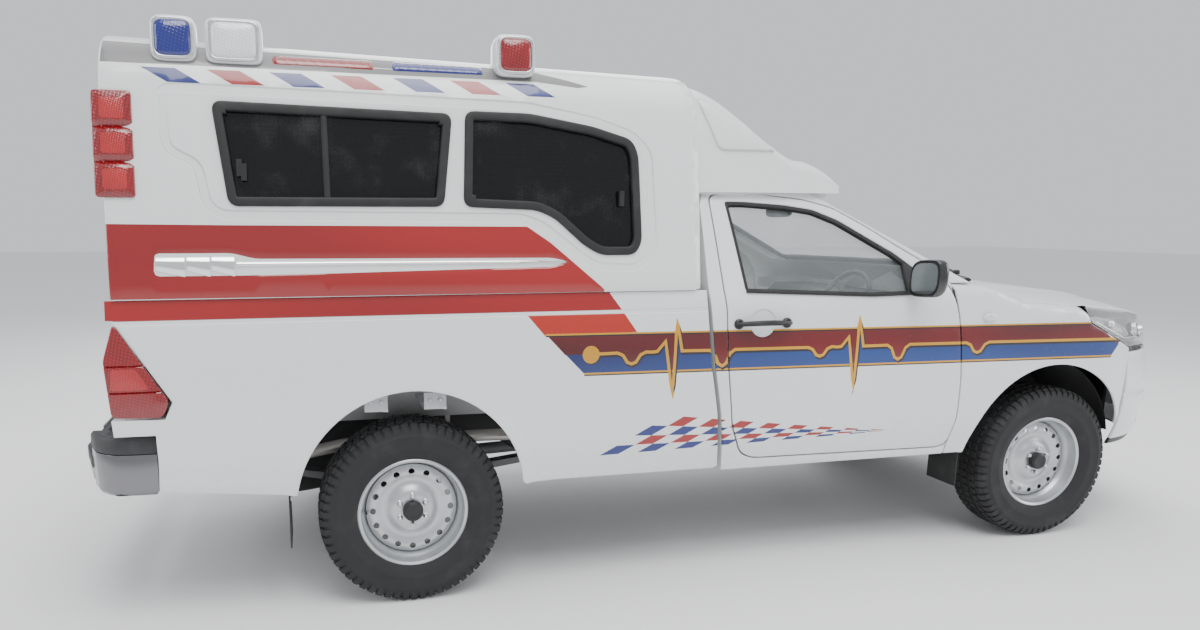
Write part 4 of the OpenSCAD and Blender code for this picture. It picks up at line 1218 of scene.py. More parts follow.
@dataclass
class Bed:
    """The load bed: painted sides, floor and rear posts."""

    flare: float = 0.007
    rail: float = 1.171

    def side_outline(self) -> Points:
        """The bed's side with its wheel arch and its lamp cut out."""
        front = CAB_BACK - 0.018
        return np.vstack([
            mm([(-1075, 1250)], REAR_X),
            [[front, 1.25], [front + 0.004, 1.17], [front + 0.026, 0.93], [front + 0.063, 0.73],
             [front + 0.090, 0.50], [front + 0.082, 0.474]],
            mm([(607, 474), (462, 468)], REAR_X),
            arc(ARCH["rear"], 6, 173),
            mm([(-462, 488), (-930, 540), (-934, 762), (-1074, 764), (-1078, 824), (-899, 820), (-870, 884),
                (-1050, 1180), (-1075, 1181)], REAR_X)])

    def build(self, f: Finishes, livery: Livery) -> None:
        """Makes the bed's pieces.

        Args:
            f: The vehicle's finishes.
            livery: Its painted stripes.
        """
        arch = Relief(arc(ARCH["rear"], -2, 182), False, [(0.0, -self.flare), (0.022, -self.flare),
                                                          (0.05, 0.0)])
        rail = Relief(np.array([[TAIL_X - 0.1, self.rail], [CAB_BACK + 0.1, self.rail]]), False,
                      [(0.0, 0.006), (0.003, 0.006), (0.010, 0.0)])
        swage = Relief(np.array([[REAR_X - 0.95, 0.56], [REAR_X - 0.48, 0.535]]), False,
                       [(0.0, -0.003), (0.012, -0.002), (0.03, 0.0)])
        skin = Skin("bed_side", self.side_outline(), bed_surface, reliefs=[arch, rail, swage],
                    patches=livery.patches(TAIL_X - 0.1, CAB_BACK + 0.12, lambda p: p), edge=0.004)
        shape = skin.cut(Shape()).both_sides()
        finish_piece("bed_sides", shape, livery.finishes(f, f.white), "body", ["bed"])
        core_piece("bed", f.white, "body")
        self._brackets(f)

    def _brackets(self, f: Finishes) -> None:
        """The galvanised braces that show inside the rear arches, and their bolts.

        Args:
            f: The vehicle's finishes.
        """
        shape = Shape()
        for x in (-0.14, 0.09):
            low = (REAR_X + x - 0.045, 0.60, 0.800)
            shape.block(low, (REAR_X + x + 0.045, 0.86, 0.812))
            shape.block((REAR_X + x - 0.045, 0.852, 0.800), (REAR_X + x + 0.045, 0.860, 0.868))
            for dx in (-0.02, 0.02):
                place = Matrix.Translation((REAR_X + x + dx, 0.861, 0.838)) @ Matrix.Rotation(-math.pi / 2,
                                                                                              4, "X")
                shape.disc([(0, 0), (0.009, 0), (0.009, 0.004), (0.006, 0.006), (0, 0.006)], place, 12)
        shape.both_sides()
        finish_piece("bed_braces", shape, [f.zinc], "body", bevel=0.002)


@dataclass
class Cab:
    """The cab's roof, pillars, sills and doors."""

    gap: float = SHUT
    cowl: float = 1.262
    handle_x: tuple[float, float] = (1.365, 1.61)
    handle_z: float = 1.107

    def back_x(self, z: np.ndarray | float) -> np.ndarray:
        """How far forward the cab's back wall lies at a height."""
        return CAB_BACK + np.interp(z, LEAN[:, 0], LEAN[:, 1])

    def half_outline(self) -> Points:
        """One side of the cab's skin, unrolled, from the front of the roof round the door to its back."""
        top = CAB_SECTION.full
        foot = float(CAB_SECTION.at_height(self.cowl))
        along = np.linspace(top, foot, 60)
        y, z = CAB_SECTION.place(along)
        front = np.stack([screen_x(y, z), along], 1)
        door = grown(soften(DOOR_LINE, 0.03, 3), self.gap)
        pillar = [i for i, p in enumerate(door) if p[0] > FRONT_X - 0.75 and p[1] < self.cowl][0]
        corner = [i for i, p in enumerate(door) if p[0] > FRONT_X - 0.66 and p[1] < 0.52][0]
        around = np.vstack([door[pillar - 1::-1], door[:corner:-1]])
        start = np.array([[door[pillar - 1][0] + 0.03, self.cowl]])
        sill = np.array([[FRONT_X - 0.598, 0.497], [FRONT_X - 0.598, 0.464]])
        back_z = np.array([0.464, 0.5, 0.6, 0.73, 0.83, 0.93, 1.05, 1.17, 1.25, 1.4, 1.5, 1.6, 1.66])
        back = np.stack([self.back_x(back_z) + np.where(back_z < 0.48, 0.01, 0), back_z], 1)
        roof = np.linspace(float(CAB_SECTION.at_height(1.68)), top, 12)
        _, roof_z = CAB_SECTION.place(roof)
        rear_edge = np.stack([self.back_x(roof_z), roof], 1)
        side = CAB_SECTION.unroll(np.vstack([start, around, sill, back]))
        return np.vstack([front, side, rear_edge])

    def build(self, f: Finishes, livery: Livery) -> None:
        """Makes the cab's pieces.

        Args:
            f: The vehicle's finishes.
            livery: Its painted stripes.
        """
        half = self.half_outline()
        outline = np.vstack([half, CAB_SECTION.far_side(half)[-2:0:-1]])
        near = livery.patches(CAB_BACK, CAB_BACK + 0.15, CAB_SECTION.unroll)
        far = livery.patches(CAB_BACK, CAB_BACK + 0.15, CAB_SECTION.unroll)
        for patch in far:
            patch.outline = CAB_SECTION.far_side(patch.outline)
        skin = Skin("cab_skin", outline, cab_surface, patches=near + far, gap=0.045, edge=0.004)
        finish_piece("cab_skin", skin.cut(Shape()), livery.finishes(f, f.white), "body",
                     ["cab_shell"])
        core_piece("cab_shell", f.white, "body")
        self._screen(f)
        for side, name in ((1, "left"), (-1, "right")):
            self._door(f, livery, side, name)

    def _screen(self, f: Finishes) -> None:
        """The windscreen with its black band, the back window and the wipers.

        Args:
            f: The vehicle's finishes.
        """
        def outline(spread: float) -> Points:
            """The windscreen's opening, made larger by a distance."""
            top, foot = HALF_W - 0.262 - 0.028, HALF_W - 0.262 + 0.072
            line = np.array([[-foot, self.cowl + 0.036], [-top, CAB_TOP - 0.082], [top, CAB_TOP - 0.082],
                             [foot, self.cowl + 0.036]])
            return grown(soften(line, 0.06, 5), spread)

        glass = Skin("windscreen", outline(-0.002), sunk(screen_surface, 0.008), thickness=0.005, edge=0.0015,
                     gap=0.06)
        shape = glass.cut(Shape())
        back = soften(mm([(-640, 1310), (-560, 1610), (560, 1610), (640, 1310)]), 0.06, 5)
        pane = Skin("back_window", grown(back, -0.001),
                    lambda p: np.stack([np.full(len(p), CAB_BACK + 0.05), p[:, 0], p[:, 1]], 1),
                    thickness=0.005, edge=0.0015, gap=0.1)
        pane.cut(shape)
        finish_piece("cab_glass_panes", shape, [f.clear], "body", ["cab_glass"])
        band = Skin("screen_band", outline(0.004), sunk(screen_surface, 0.002), holes=[outline(-0.034)],
                    thickness=0.009, edge=0.002, gap=0.05)
        frame_shape = band.cut(Shape())
        frit = Skin("back_band", grown(back, 0.004),
                    lambda p: np.stack([np.full(len(p), CAB_BACK + 0.030), p[:, 0], p[:, 1]], 1),
                    holes=[grown(back, -0.025)], thickness=0.014, edge=0.003, gap=0.06)
        frit.cut(frame_shape)
        cowl = [Vector((float(screen_x(np.array(y), np.array(1.268))) + 0.012, y, 1.266))
                for y in np.linspace(-0.76, 0.76, 21)]
        frame_shape.tube(cowl, 0.016, 8, flat=0.6)
        finish_piece("screen_seals", frame_shape, [f.black], "body")
        self._wipers(f)

    def _wipers(self, f: Finishes) -> None:
        """Two arms and blades parked along the foot of the windscreen.

        Args:
            f: The vehicle's finishes.
        """
        shape = Shape()
        for pivot, reach in ((-0.52, 0.60), (0.10, 0.56)):
            def over(y: float, z: float, lift: float) -> Vector:
                """A point a little in front of the windscreen."""
                return Vector((float(screen_x(np.array(y), np.array(z))) + lift, y, z + lift * 0.6))
            arm = [over(pivot, 1.272, 0.022), over(pivot + 0.16, 1.30, 0.026),
                   over(pivot + reach * 0.55, 1.312, 0.020)]
            blade = [over(pivot + reach * t, 1.300 + 0.022 * t, 0.010) for t in np.linspace(0.08, 1.0, 9)]
            shape.tube(arm, [0.010, 0.007, 0.005], 8, flat=0.6)
            shape.tube(blade, [0.003] + [0.007] * 7 + [0.003], 6, flat=0.7)
            hub = Matrix.Translation(arm[0])
            shape.disc([(0, -0.01), (0.017, -0.01), (0.017, 0.006), (0.011, 0.012), (0, 0.013)], hub, 16)
        finish_piece("wipers", shape, [f.black], "body")

    def _door(self, f: Finishes, livery: Livery, side: int, name: str) -> None:
        """One door: its painted skin, seals, glass, handle and inner panel."""
        door = CAB_SECTION.unroll(densify(soften(DOOR_LINE, 0.03, 3), 0.03))
        window = CAB_SECTION.unroll(densify(soften(WINDOW_LINE, 0.014, 2), 0.03))
        middle = ((self.handle_x[0] + self.handle_x[1]) / 2 + REAR_X, self.handle_z, 0.062)
        bowl = CAB_SECTION.unroll(arc(middle, 0, 350, 36))
        cup = Relief(bowl, True, [(0.0, 0.0), (0.006, 0.004), (0.03, 0.014), (0.05, 0.019)])
        skin = Skin("door", door, cab_surface, holes=[window], reliefs=[cup], edge=0.004,
                    patches=livery.patches(CAB_BACK, FRONT_X - 0.55, CAB_SECTION.unroll))
        shape = skin.cut(Shape())
        body = "door_" + name
        piece = self._sided(shape, side)
        finish_piece(body + "_skin", piece, livery.finishes(f, f.white), body, [body])
        core_piece(body, f.white, body)
        seals = Shape()
        Skin("seal", grown(window, 0.001), sunk(cab_surface, 0.004), holes=[grown(window, -0.017)],
             thickness=0.02, edge=0.004, gap=0.03).cut(seals)
        belt = WINDOW_LINE[[9, 10, 11]]
        strip = densify(belt, 0.05, False)
        y, z = CAB_SECTION.place(CAB_SECTION.at_height(strip[:, 1] + 0.002))
        seals.tube([Vector((x, b + 0.002, c)) for x, b, c in zip(strip[:, 0], y, z)], 0.011, 8, flat=0.7)
        rail_x = FRONT_X - 0.862
        rail_z = np.linspace(1.224, 1.352, 8)
        y, z = CAB_SECTION.place(CAB_SECTION.at_height(rail_z))
        seals.tube([Vector((rail_x, b - 0.014, c)) for b, c in zip(y, z)], 0.011, 8)
        finish_piece(body + "_seals", self._sided(seals, side), [f.seal], body)
        glass = Shape()
        Skin("pane", grown(window, -0.0005), sunk(cab_surface, 0.024), thickness=0.005, edge=0.0015,
             gap=0.06).cut(glass)
        finish_piece(body + "_glass", self._sided(glass, side), [f.clear], body,
                     ["door_glass_" + name])
        self._handle(f, side, body)
        self._mirror(f, side, name)

    def _sided(self, shape: Shape, side: int) -> Shape:
        """The shape itself on the left, its mirror image on the right."""
        return shape if side > 0 else shape.mirrored()

    def _handle(self, f: Finishes, side: int, body: str) -> None:
        """The pull handle over its round recess, with a lock."""
        shape = Shape()
        x0, x1 = (x + REAR_X for x in self.handle_x)
        y = float(side_y(self.handle_z))
        line = [Vector((x0 + (x1 - x0) * t, y + 0.004 + 0.036 * math.sin(math.pi * t) ** 0.6, self.handle_z
                        + 0.006 * math.sin(math.pi * t))) for t in np.linspace(0, 1, 25)]
        along = np.linspace(0, 1, 25)
        sizes = [0.009 + 0.010 * math.sin(math.pi * min(1, 0.12 + 0.8 * t)) ** 0.5 for t in along]
        shape.tube(line, sizes, 16, flat=0.62)
        for x in (x0 + 0.008, x1 - 0.012):
            place = Matrix.Translation((x, y - 0.004, self.handle_z)) @ Matrix.Rotation(-math.pi / 2, 4, "X")
            shape.disc([(0, 0), (0.022, 0), (0.022, 0.010), (0.016, 0.016), (0, 0.017)], place, 24)
        finish_piece(body + "_handle", self._sided(shape, side), [f.black], body)

    def _mirror(self, f: Finishes, side: int, name: str) -> None:
        """The mirror's shell, glass, arm and the black corner plate that carries it."""
        base = float(side_y(1.25)) - 0.018
        rows = []
        for t in np.linspace(0, 1, 13):
            swell = math.sin(math.pi * (0.06 + 0.88 * t)) ** 0.45
            x = FRONT_X - 0.850 - 0.056 * (1 - t)
            centre = Vector((x, base + 0.140, 1.293))
            shrink = 0.62 + 0.38 * swell if t > 0.5 else 0.92 + 0.08 * swell
            row = []
            for k in range(32):
                a = 2 * math.pi * k / 32
                c, s = math.cos(a), math.sin(a)
                wide = 0.092 * math.copysign(abs(c) ** 0.55, c)
                tall = 0.082 * math.copysign(abs(s) ** 0.62, s)
                row.append(centre + Vector((0, wide * shrink, tall * shrink + 0.012 * c)))
            rows.append(row)
        shell = Shape()
        shell.grid(rows, closed=True)
        shell.faces.append(tuple(range(12 * 32, 13 * 32)))
        shell.faces.append(tuple(reversed(range(32))))
        shell.finishes += [0, 0]
        shell.tube([Vector((FRONT_X - 0.80, base - 0.02, 1.262)),
                    Vector((FRONT_X - 0.835, base + 0.03, 1.262)),
                    Vector((FRONT_X - 0.872, base + 0.085, 1.272))], [0.026, 0.021, 0.018], 12, flat=0.7)
        corner = mm([(-862, 1222), (-862, 1352), (-831, 1332), (-778, 1288), (-764, 1224)], FRONT_X)
        Skin("sail", CAB_SECTION.unroll(densify(corner, 0.02)), sunk(cab_surface, 0.003), thickness=0.018,
             edge=0.004, gap=0.02).cut(shell)
        finish_piece("mirror_shell_" + name, self._sided(shell, side), [f.gloss_black], "door_" + name,
                     ["mirror_" + name])
        glass = Shape()
        ring = [Vector((FRONT_X - 0.9075, base + 0.140 + 0.076 * math.copysign(abs(math.cos(a)) ** 0.55,
                                                                               math.cos(a)),
                        1.293 + 0.066 * math.copysign(abs(math.sin(a)) ** 0.62,
                                                      math.sin(a)) + 0.010 * math.cos(a)))
                for a in np.linspace(0, 2 * math.pi, 32, endpoint=False)]
        rows = [[p + Vector((dx, 0, 0)) for p in ring] for dx in (0.004, 0.0)]
        glass.grid(rows, closed=True)
        glass.faces += [tuple(range(32, 64)), tuple(reversed(range(32)))]
        glass.finishes += [0, 0]
        finish_piece("mirror_glass_" + name, self._sided(glass, side), [f.mirror],
                     "door_" + name)


def loop_of(wide: float, tall: float, power: float = 0.5, count: int = 40) -> list[tuple[float, float]]:
    """A rounded rectangle between a box and an ellipse, as half sizes and how square it is."""
    out = []
    for k in range(count):
        a = 2 * math.pi * k / count
        c, s = math.cos(a), math.sin(a)
        out.append((wide * math.copysign(abs(c) ** power, c), tall * math.copysign(abs(s) ** power, s)))
    return out


class Repeater:
    """A Geometry Nodes tree that repeats a small shape along a row or round an axis."""

    def __init__(self) -> None:
        """Builds the tree once."""
        self.tree = bpy.data.node_groups.new("repeat_piece", "GeometryNodeTree")
        face = self.tree.interface
        self.sockets = {}
        for name, kind in (("Piece", "NodeSocketGeometry"), ("Count", "NodeSocketInt"),
                           ("Step", "NodeSocketVector"), ("Turn", "NodeSocketVector"),
                           ("Place", "NodeSocketVector"), ("Finish", "NodeSocketMaterial")):
            self.sockets[name] = face.new_socket(name, in_out="INPUT", socket_type=kind).identifier
        face.new_socket("Result", in_out="OUTPUT", socket_type="NodeSocketGeometry")
        nodes, links = self.tree.nodes, self.tree.links
        entry = nodes.new("NodeGroupInput")
        leave = nodes.new("NodeGroupOutput")
        line = nodes.new("GeometryNodeMeshLine")
        line.mode = "OFFSET"
        spread = nodes.new("GeometryNodeInstanceOnPoints")
        index = nodes.new("GeometryNodeInputIndex")
        angle = nodes.new("ShaderNodeVectorMath")
        angle.operation = "SCALE"
        shift = nodes.new("GeometryNodeTransform")
        real = nodes.new("GeometryNodeRealizeInstances")
        paint = nodes.new("GeometryNodeSetMaterial")
        links.new(entry.outputs["Count"], line.inputs["Count"])
        links.new(entry.outputs["Step"], line.inputs["Offset"])
        links.new(line.outputs["Mesh"], spread.inputs["Points"])
        links.new(entry.outputs["Piece"], spread.inputs["Instance"])
        links.new(entry.outputs["Turn"], angle.inputs["Vector"])
        links.new(index.outputs[0], angle.inputs["Scale"])
        links.new(angle.outputs["Vector"], spread.inputs["Rotation"])
        links.new(spread.outputs["Instances"], shift.inputs["Geometry"])
        links.new(entry.outputs["Place"], shift.inputs["Translation"])
        links.new(shift.outputs["Geometry"], real.inputs["Geometry"])
        links.new(real.outputs["Geometry"], paint.inputs["Geometry"])
        links.new(entry.outputs["Finish"], paint.inputs["Material"])
        links.new(paint.outputs["Geometry"], leave.inputs["Result"])

    def make(self, shape: Shape, count: int, finish: bpy.types.Material, number: int = 0,
             step: Sequence[float] = (0, 0, 0), turn: Sequence[float] = (0, 0, 0),
             place: Sequence[float] = (0, 0, 0)) -> Shape:
        """Repeats a shape.

        Args:
            shape: One of the repeated pieces, about the origin.
            count: How many there are.
            finish: Their material.
            number: The finish's number in the shape that is returned.
            step: Move from one to the next.
            turn: Turn from one to the next, in radians.
            place: Where the first one's origin goes.

        Returns:
            All of them as one plain shape.
        """
        mesh = bpy.data.meshes.new("repeat")
        mesh.from_pydata(shape.points, [], shape.faces)
        holder = bpy.data.objects.new("repeat", mesh)
        bpy.context.scene.collection.objects.link(holder)
        tool = holder.modifiers.new("repeat", "NODES")
        tool.node_group = self.tree
        tool[self.sockets["Count"]] = count
        tool[self.sockets["Step"]] = tuple(step)
        tool[self.sockets["Turn"]] = tuple(turn)
        tool[self.sockets["Place"]] = tuple(place)
        tool[self.sockets["Finish"]] = finish
        bake_modifiers(holder)
        out = Shape()
        out.add([tuple(v.co) for v in holder.data.vertices],
                [tuple(p.vertices) for p in holder.data.polygons], number)
        bpy.data.objects.remove(holder)
        return out


def dress(node: str, *finishes: bpy.types.Material) -> None:
    """Gives a carried-over CAD node its finish."""
    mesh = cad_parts[node].data
    if not mesh.materials:
        mesh.materials.append(finishes[0])
    for k in range(len(mesh.materials)):
        mesh.materials[k] = finishes[min(k, len(finishes) - 1)]


@dataclass
class Canopy:
    """The moulded canopy: walls and roof, window frames, groove, trim and painted stripes."""

    rubber: float = 0.026
    trim_z: float = 1.375

    GREY: ClassVar[int] = 9
    ROOF: ClassVar[int] = 10

    def groove(self) -> Points:
        """The middle of the moulded groove that frames the windows."""
        return soften(np.array([(-0.856, 1.976), (-0.81, 1.99), (0.478, 1.967), (0.737, 1.92), (0.904, 1.87),
                                (0.974, 1.80), (0.989, 1.41), (0.913, 1.346), (0.756, 1.352), (0.69, 1.383),
                                (0.524, 1.513), (0.441, 1.544), (-0.67, 1.55), (-0.717, 1.587),
                                (-0.74, 1.726), (-0.833, 1.772), (-0.846, 1.81)]) + [REAR_X, 0], 0.035, 3)

    def paint(self, livery: Livery) -> list[Patch]:
        """The red band, the slanted stripes and the roof's grey strip, seen from the side."""
        band = mm([(-1100, 1240), (774, 1240), (774, 1263), (663, 1356), (552, 1448), (460, 1509),
                   (-640, 1513), (-1100, 1517)], REAR_X)
        out = [Patch(band, livery.RED)]
        for k, x in enumerate((-915, -698, -485, -269, -41, 176, 394)):
            stripe = mm([(x, 2056), (x + 112, 2056), (x + 197, 2006), (x + 85, 2006)], REAR_X)
            out.append(Patch(stripe, livery.CHECK_RED if k % 2 else livery.CHECK_BLUE))
        roof = mm([(-1045, 2068), (520, 2066), (690, 2048), (735, 2056), (640, 2082), (500, 2116),
                   (-1045, 2150)], REAR_X)
        return out + [Patch(roof, self.ROOF)]

    def build(self, f: Finishes, livery: Livery) -> None:
        """Makes the canopy's pieces.

        Args:
            f: The vehicle's finishes.
            livery: Its painted stripes.
        """
        full = CANOPY_SECTION.full
        outline = np.array([[TAIL_X, 0.002], [CANOPY_FRONT - 0.002, 0.002],
                            [CANOPY_FRONT - 0.002, 2 * full - 0.002], [TAIL_X, 2 * full - 0.002]])
        windows = [canopy_flat(densify(soften(line, 0.03, 4), 0.04)) for line in (SLIDE_LINE, FIXED_LINE)]
        near = self.paint(livery)
        far = self.paint(livery)
        for patch in near:
            patch.outline = canopy_flat(densify(patch.outline, 0.06))
        for patch in far:
            patch.outline = CANOPY_SECTION.far_side(canopy_flat(densify(patch.outline, 0.06)))
        ring = canopy_flat(densify(self.groove(), 0.05))
        edge = soften(mm([(-905, 1330), (-905, 1422), (-640, 1422), (-560, 1400), (560, 1396), (650, 1375),
                          (560, 1348), (-600, 1330)], REAR_X), 0.02, 2)
        pocket = canopy_flat(densify(edge, 0.05))
        reliefs, bands = [], []
        for path in (ring, CANOPY_SECTION.far_side(ring)):
            reliefs.append(Relief(path, True, [(-0.019, 0.0), (-0.012, 0.008), (0.012, 0.008), (0.019, 0.0)]))
            bands.append(path)
        for path in (pocket, CANOPY_SECTION.far_side(pocket)):
            reliefs.append(Relief(path, True, [(0.0, 0.0), (0.014, 0.007), (0.03, 0.008)]))
        grooves = [ClosedStroke(path, self.GREY, width=0.030) for path in bands]
        skin = Skin("canopy_skin", outline, canopy_surface,
                    holes=windows + [CANOPY_SECTION.far_side(w)[::-1] for w in windows],
                    patches=near + far + grooves, reliefs=reliefs, gap=0.05, edge=0.004,
                    centre=(REAR_X, 0, 1.5))
        finish_piece("canopy_skin", skin.cut(Shape()), livery.finishes(f, f.shell) + [f.groove, f.grey],
                     "body", ["canopy_shell"])

        def slim(co: Vector) -> Vector:
            """Draws the core's fairing and front wall in behind their skins."""
            if co.x > CANOPY_FRONT + 0.002:
                return Vector((co.x - 0.02, co.y * 0.92, co.z - (0.045 if co.z > 1.84 else 0.02)))
            if co.x > CANOPY_FRONT - 0.004:
                return co - Vector((0.03, 0, 0))
            return co
        core_piece("canopy_shell", f.shell, "body", reshape=slim)
        self._front(f)
        self._windows(f, windows)
        self._trim(f)
        self._fairing(f)

    def _front(self, f: Finishes) -> None:
        """The canopy's front wall, whose edge meets the rounded corner of its sides and roof.

        Args:
            f: The vehicle's finishes.
        """
        s = np.linspace(0.002, 2 * CANOPY_SECTION.full - 0.002, 90)
        edge = canopy_surface(np.stack([np.full(90, CANOPY_FRONT - 0.003), s], 1))[:, 1:]
        wall = Skin("wall", grown(edge, -0.004), lambda p: np.stack([np.full(len(p), CANOPY_FRONT - 0.001),
                                                                     p[:, 0], p[:, 1]], 1),
                    thickness=0.012, edge=0.003, gap=0.15, centre=(REAR_X, 0, 1.5))
        finish_piece("canopy_front_wall", wall.cut(Shape()), [f.shell], "body")

    def _windows(self, f: Finishes, windows: list[Points]) -> None:
        """Tinted panes in thick rubber frames, with the slider's bar and latches."""
        rubber, panes = Shape(), Shape()
        for line in windows:
            Skin("frame", grown(line, 0.008), sunk(canopy_surface, -0.010), holes=[grown(line, -self.rubber)],
                 thickness=0.026, edge=0.008, gap=0.05, centre=(REAR_X, 0, 1.5)).cut(rubber)
            Skin("pane", grown(line, -0.012), sunk(canopy_surface, 0.009), thickness=0.005, edge=0.0015,
                 gap=0.08, centre=(REAR_X, 0, 1.5)).cut(panes)
        slide = mm([(-300, 1930), (-296, 1590)], REAR_X)
        bar = densify(slide, 0.04, False)
        bars = canopy_surface(canopy_flat(bar)) - [0, 0.002, 0]
        rubber.tube([Vector(p) for p in bars], 0.012, 8, flat=0.7)
        for x, z in ((-0.60, 1.715), (-0.585, 1.70), (0.85, 1.62)):
            at = canopy_surface(canopy_flat(np.array([[REAR_X + x, z]])))[0]
            rubber.block(at - [0.010, 0.004, 0.030], at + [0.010, 0.012, 0.030])
        finish_piece("canopy_window_rubber", rubber.both_sides(), [f.seal], "body",
                     rounding=Rounding.SOFT)
        finish_piece("canopy_panes", panes.both_sides(), [f.tint], "body", ["canopy_windows"])

    def _trim(self, f: Finishes) -> None:
        """The bright strip along the red band: a broad rear end with slanted splits, then a thin spear.

        Args:
            f: The vehicle's finishes.
        """
        def rib(x: float, low: float, high: float, lift: float) -> list[Vector]:
            """The strip's section at one place."""
            row = []
            for t in (0, 0.12, 0.4, 0.6, 0.88, 1):
                z = low + (high - low) * t
                at = canopy_surface(canopy_flat(np.array([[REAR_X + x, z]])))[0]
                row.append(Vector(at) + Vector((0, lift * math.sin(math.pi * t) ** 0.5 - 0.008, 0)))
            return row + [Vector((p.x, p.y - 0.006, p.z)) for p in reversed(row)]

        shape = Shape()
        sections = ((-0.895, -0.800), (-0.792, -0.716), (-0.708, -0.632))
        for start, end in sections:
            rows = [rib(x, 1.348 - 0.004 * k, 1.406, 0.016) for k, x in enumerate(np.linspace(start, end, 7))]
            shape.loft(rows)
        spear = []
        for x in np.linspace(-0.624, 0.62, 60):
            t = (x + 0.624) / 1.244
            half = 0.011 * min(1, (1.02 - t) * 6) * (0.75 + 0.25 * (1 - t))
            spear.append(rib(x, self.trim_z - half, self.trim_z + half, 0.014))
        shape.loft(spear)
        finish_piece("canopy_trim", shape.both_sides(), [f.chrome], "body",
                     rounding=Rounding.SOFT)

    def _fairing(self, f: Finishes) -> None:
        """The moulded fairing over the cab roof, with its raised triangle and a dark lamp on its slope.

        Args:
            f: The vehicle's finishes.
        """
        top = smooth_curve(mm([(-1965, 2130), (-1837, 2105), (-1727, 2060), (-1608, 1976), (-1491, 1886),
                               (-1361, 1806), (-1284, 1792), (-1205, 1752), (-1140, 1692)], FRONT_X), 400)
        side = mm([(640, 1500), (700, 1640), (685, 1720), (655, 1900), (615, 2030), (560, 2085), (400, 2125)])

        def width(z: float) -> float:
            """Half width of the fairing's side at a height."""
            return float(np.interp(z, side[:, 1], side[:, 0]))

        rows = []
        for x in np.linspace(CANOPY_FRONT - 0.03, FRONT_X - 1.142, 64):
            peak = float(np.interp(x, top[:, 0], top[:, 1]))
            low = 1.655
            round_r = min(0.062, (peak - low) * 0.45)
            flat = width(peak - round_r) - round_r
            half = [(flat * t, peak + 0.012 * (1 - t * t)) for t in np.linspace(0, 1, 12)]
            for a in np.linspace(0, 90, 9)[1:]:
                half.append((flat + round_r * math.sin(math.radians(a)),
                             peak - round_r + round_r * math.cos(math.radians(a))))
            for t in np.linspace(0, 1, 12)[1:]:
                z = peak - round_r - (peak - round_r - low) * t
                half.append((width(z), z))
            row = [Vector((x, -y, z)) for y, z in reversed(half[1:])] + [Vector((x, y, z)) for y, z in half]
            rows.append(row)
        shape = Shape()
        shape.loft(rows)
        mark = densify(soften(mm([(1273, 2062), (1638, 1836), (1360, 1836)], REAR_X), 0.03, 3), 0.03)

        def beside(p: Points) -> Points:
            """A place just outside the fairing's side, from X and Z."""
            return np.stack([p[:, 0], np.interp(p[:, 1], side[:, 1], side[:, 0]) + 0.011, p[:, 1]], 1)
        for turn in (1, -1):
            panel = Skin("panel", mark, beside, thickness=0.010, edge=0.006, gap=0.05,
                         centre=(REAR_X + 1.4, 0, 1.8)).cut(Shape())
            shape.join(panel if turn > 0 else panel.mirrored())
        lamp = Shape()
        slope = soften(np.array([[-0.16, 2.022], [-0.13, 2.090], [0.13, 2.090], [0.16, 2.022]]), 0.02, 3)

        def over(p: Points) -> Points:
            """A place on the fairing's slope from Y and Z."""
            x = np.interp(-(p[:, 1] - 0.010), -top[:, 1], top[:, 0])
            return np.stack([x + 0.004, p[:, 0], p[:, 1]], 1)
        for y in (-0.36, 0.36):
            Skin("lamp", slope + [y, 0], over, thickness=0.012, edge=0.004, gap=0.05,
                 centre=(REAR_X, 0, 1.5)).cut(lamp)
        finish_piece("canopy_fairing", shape, [f.shell], "body", rounding=Rounding.SOFT)
        finish_piece("fairing_lamps", lamp, [f.lamp_blue], "body")


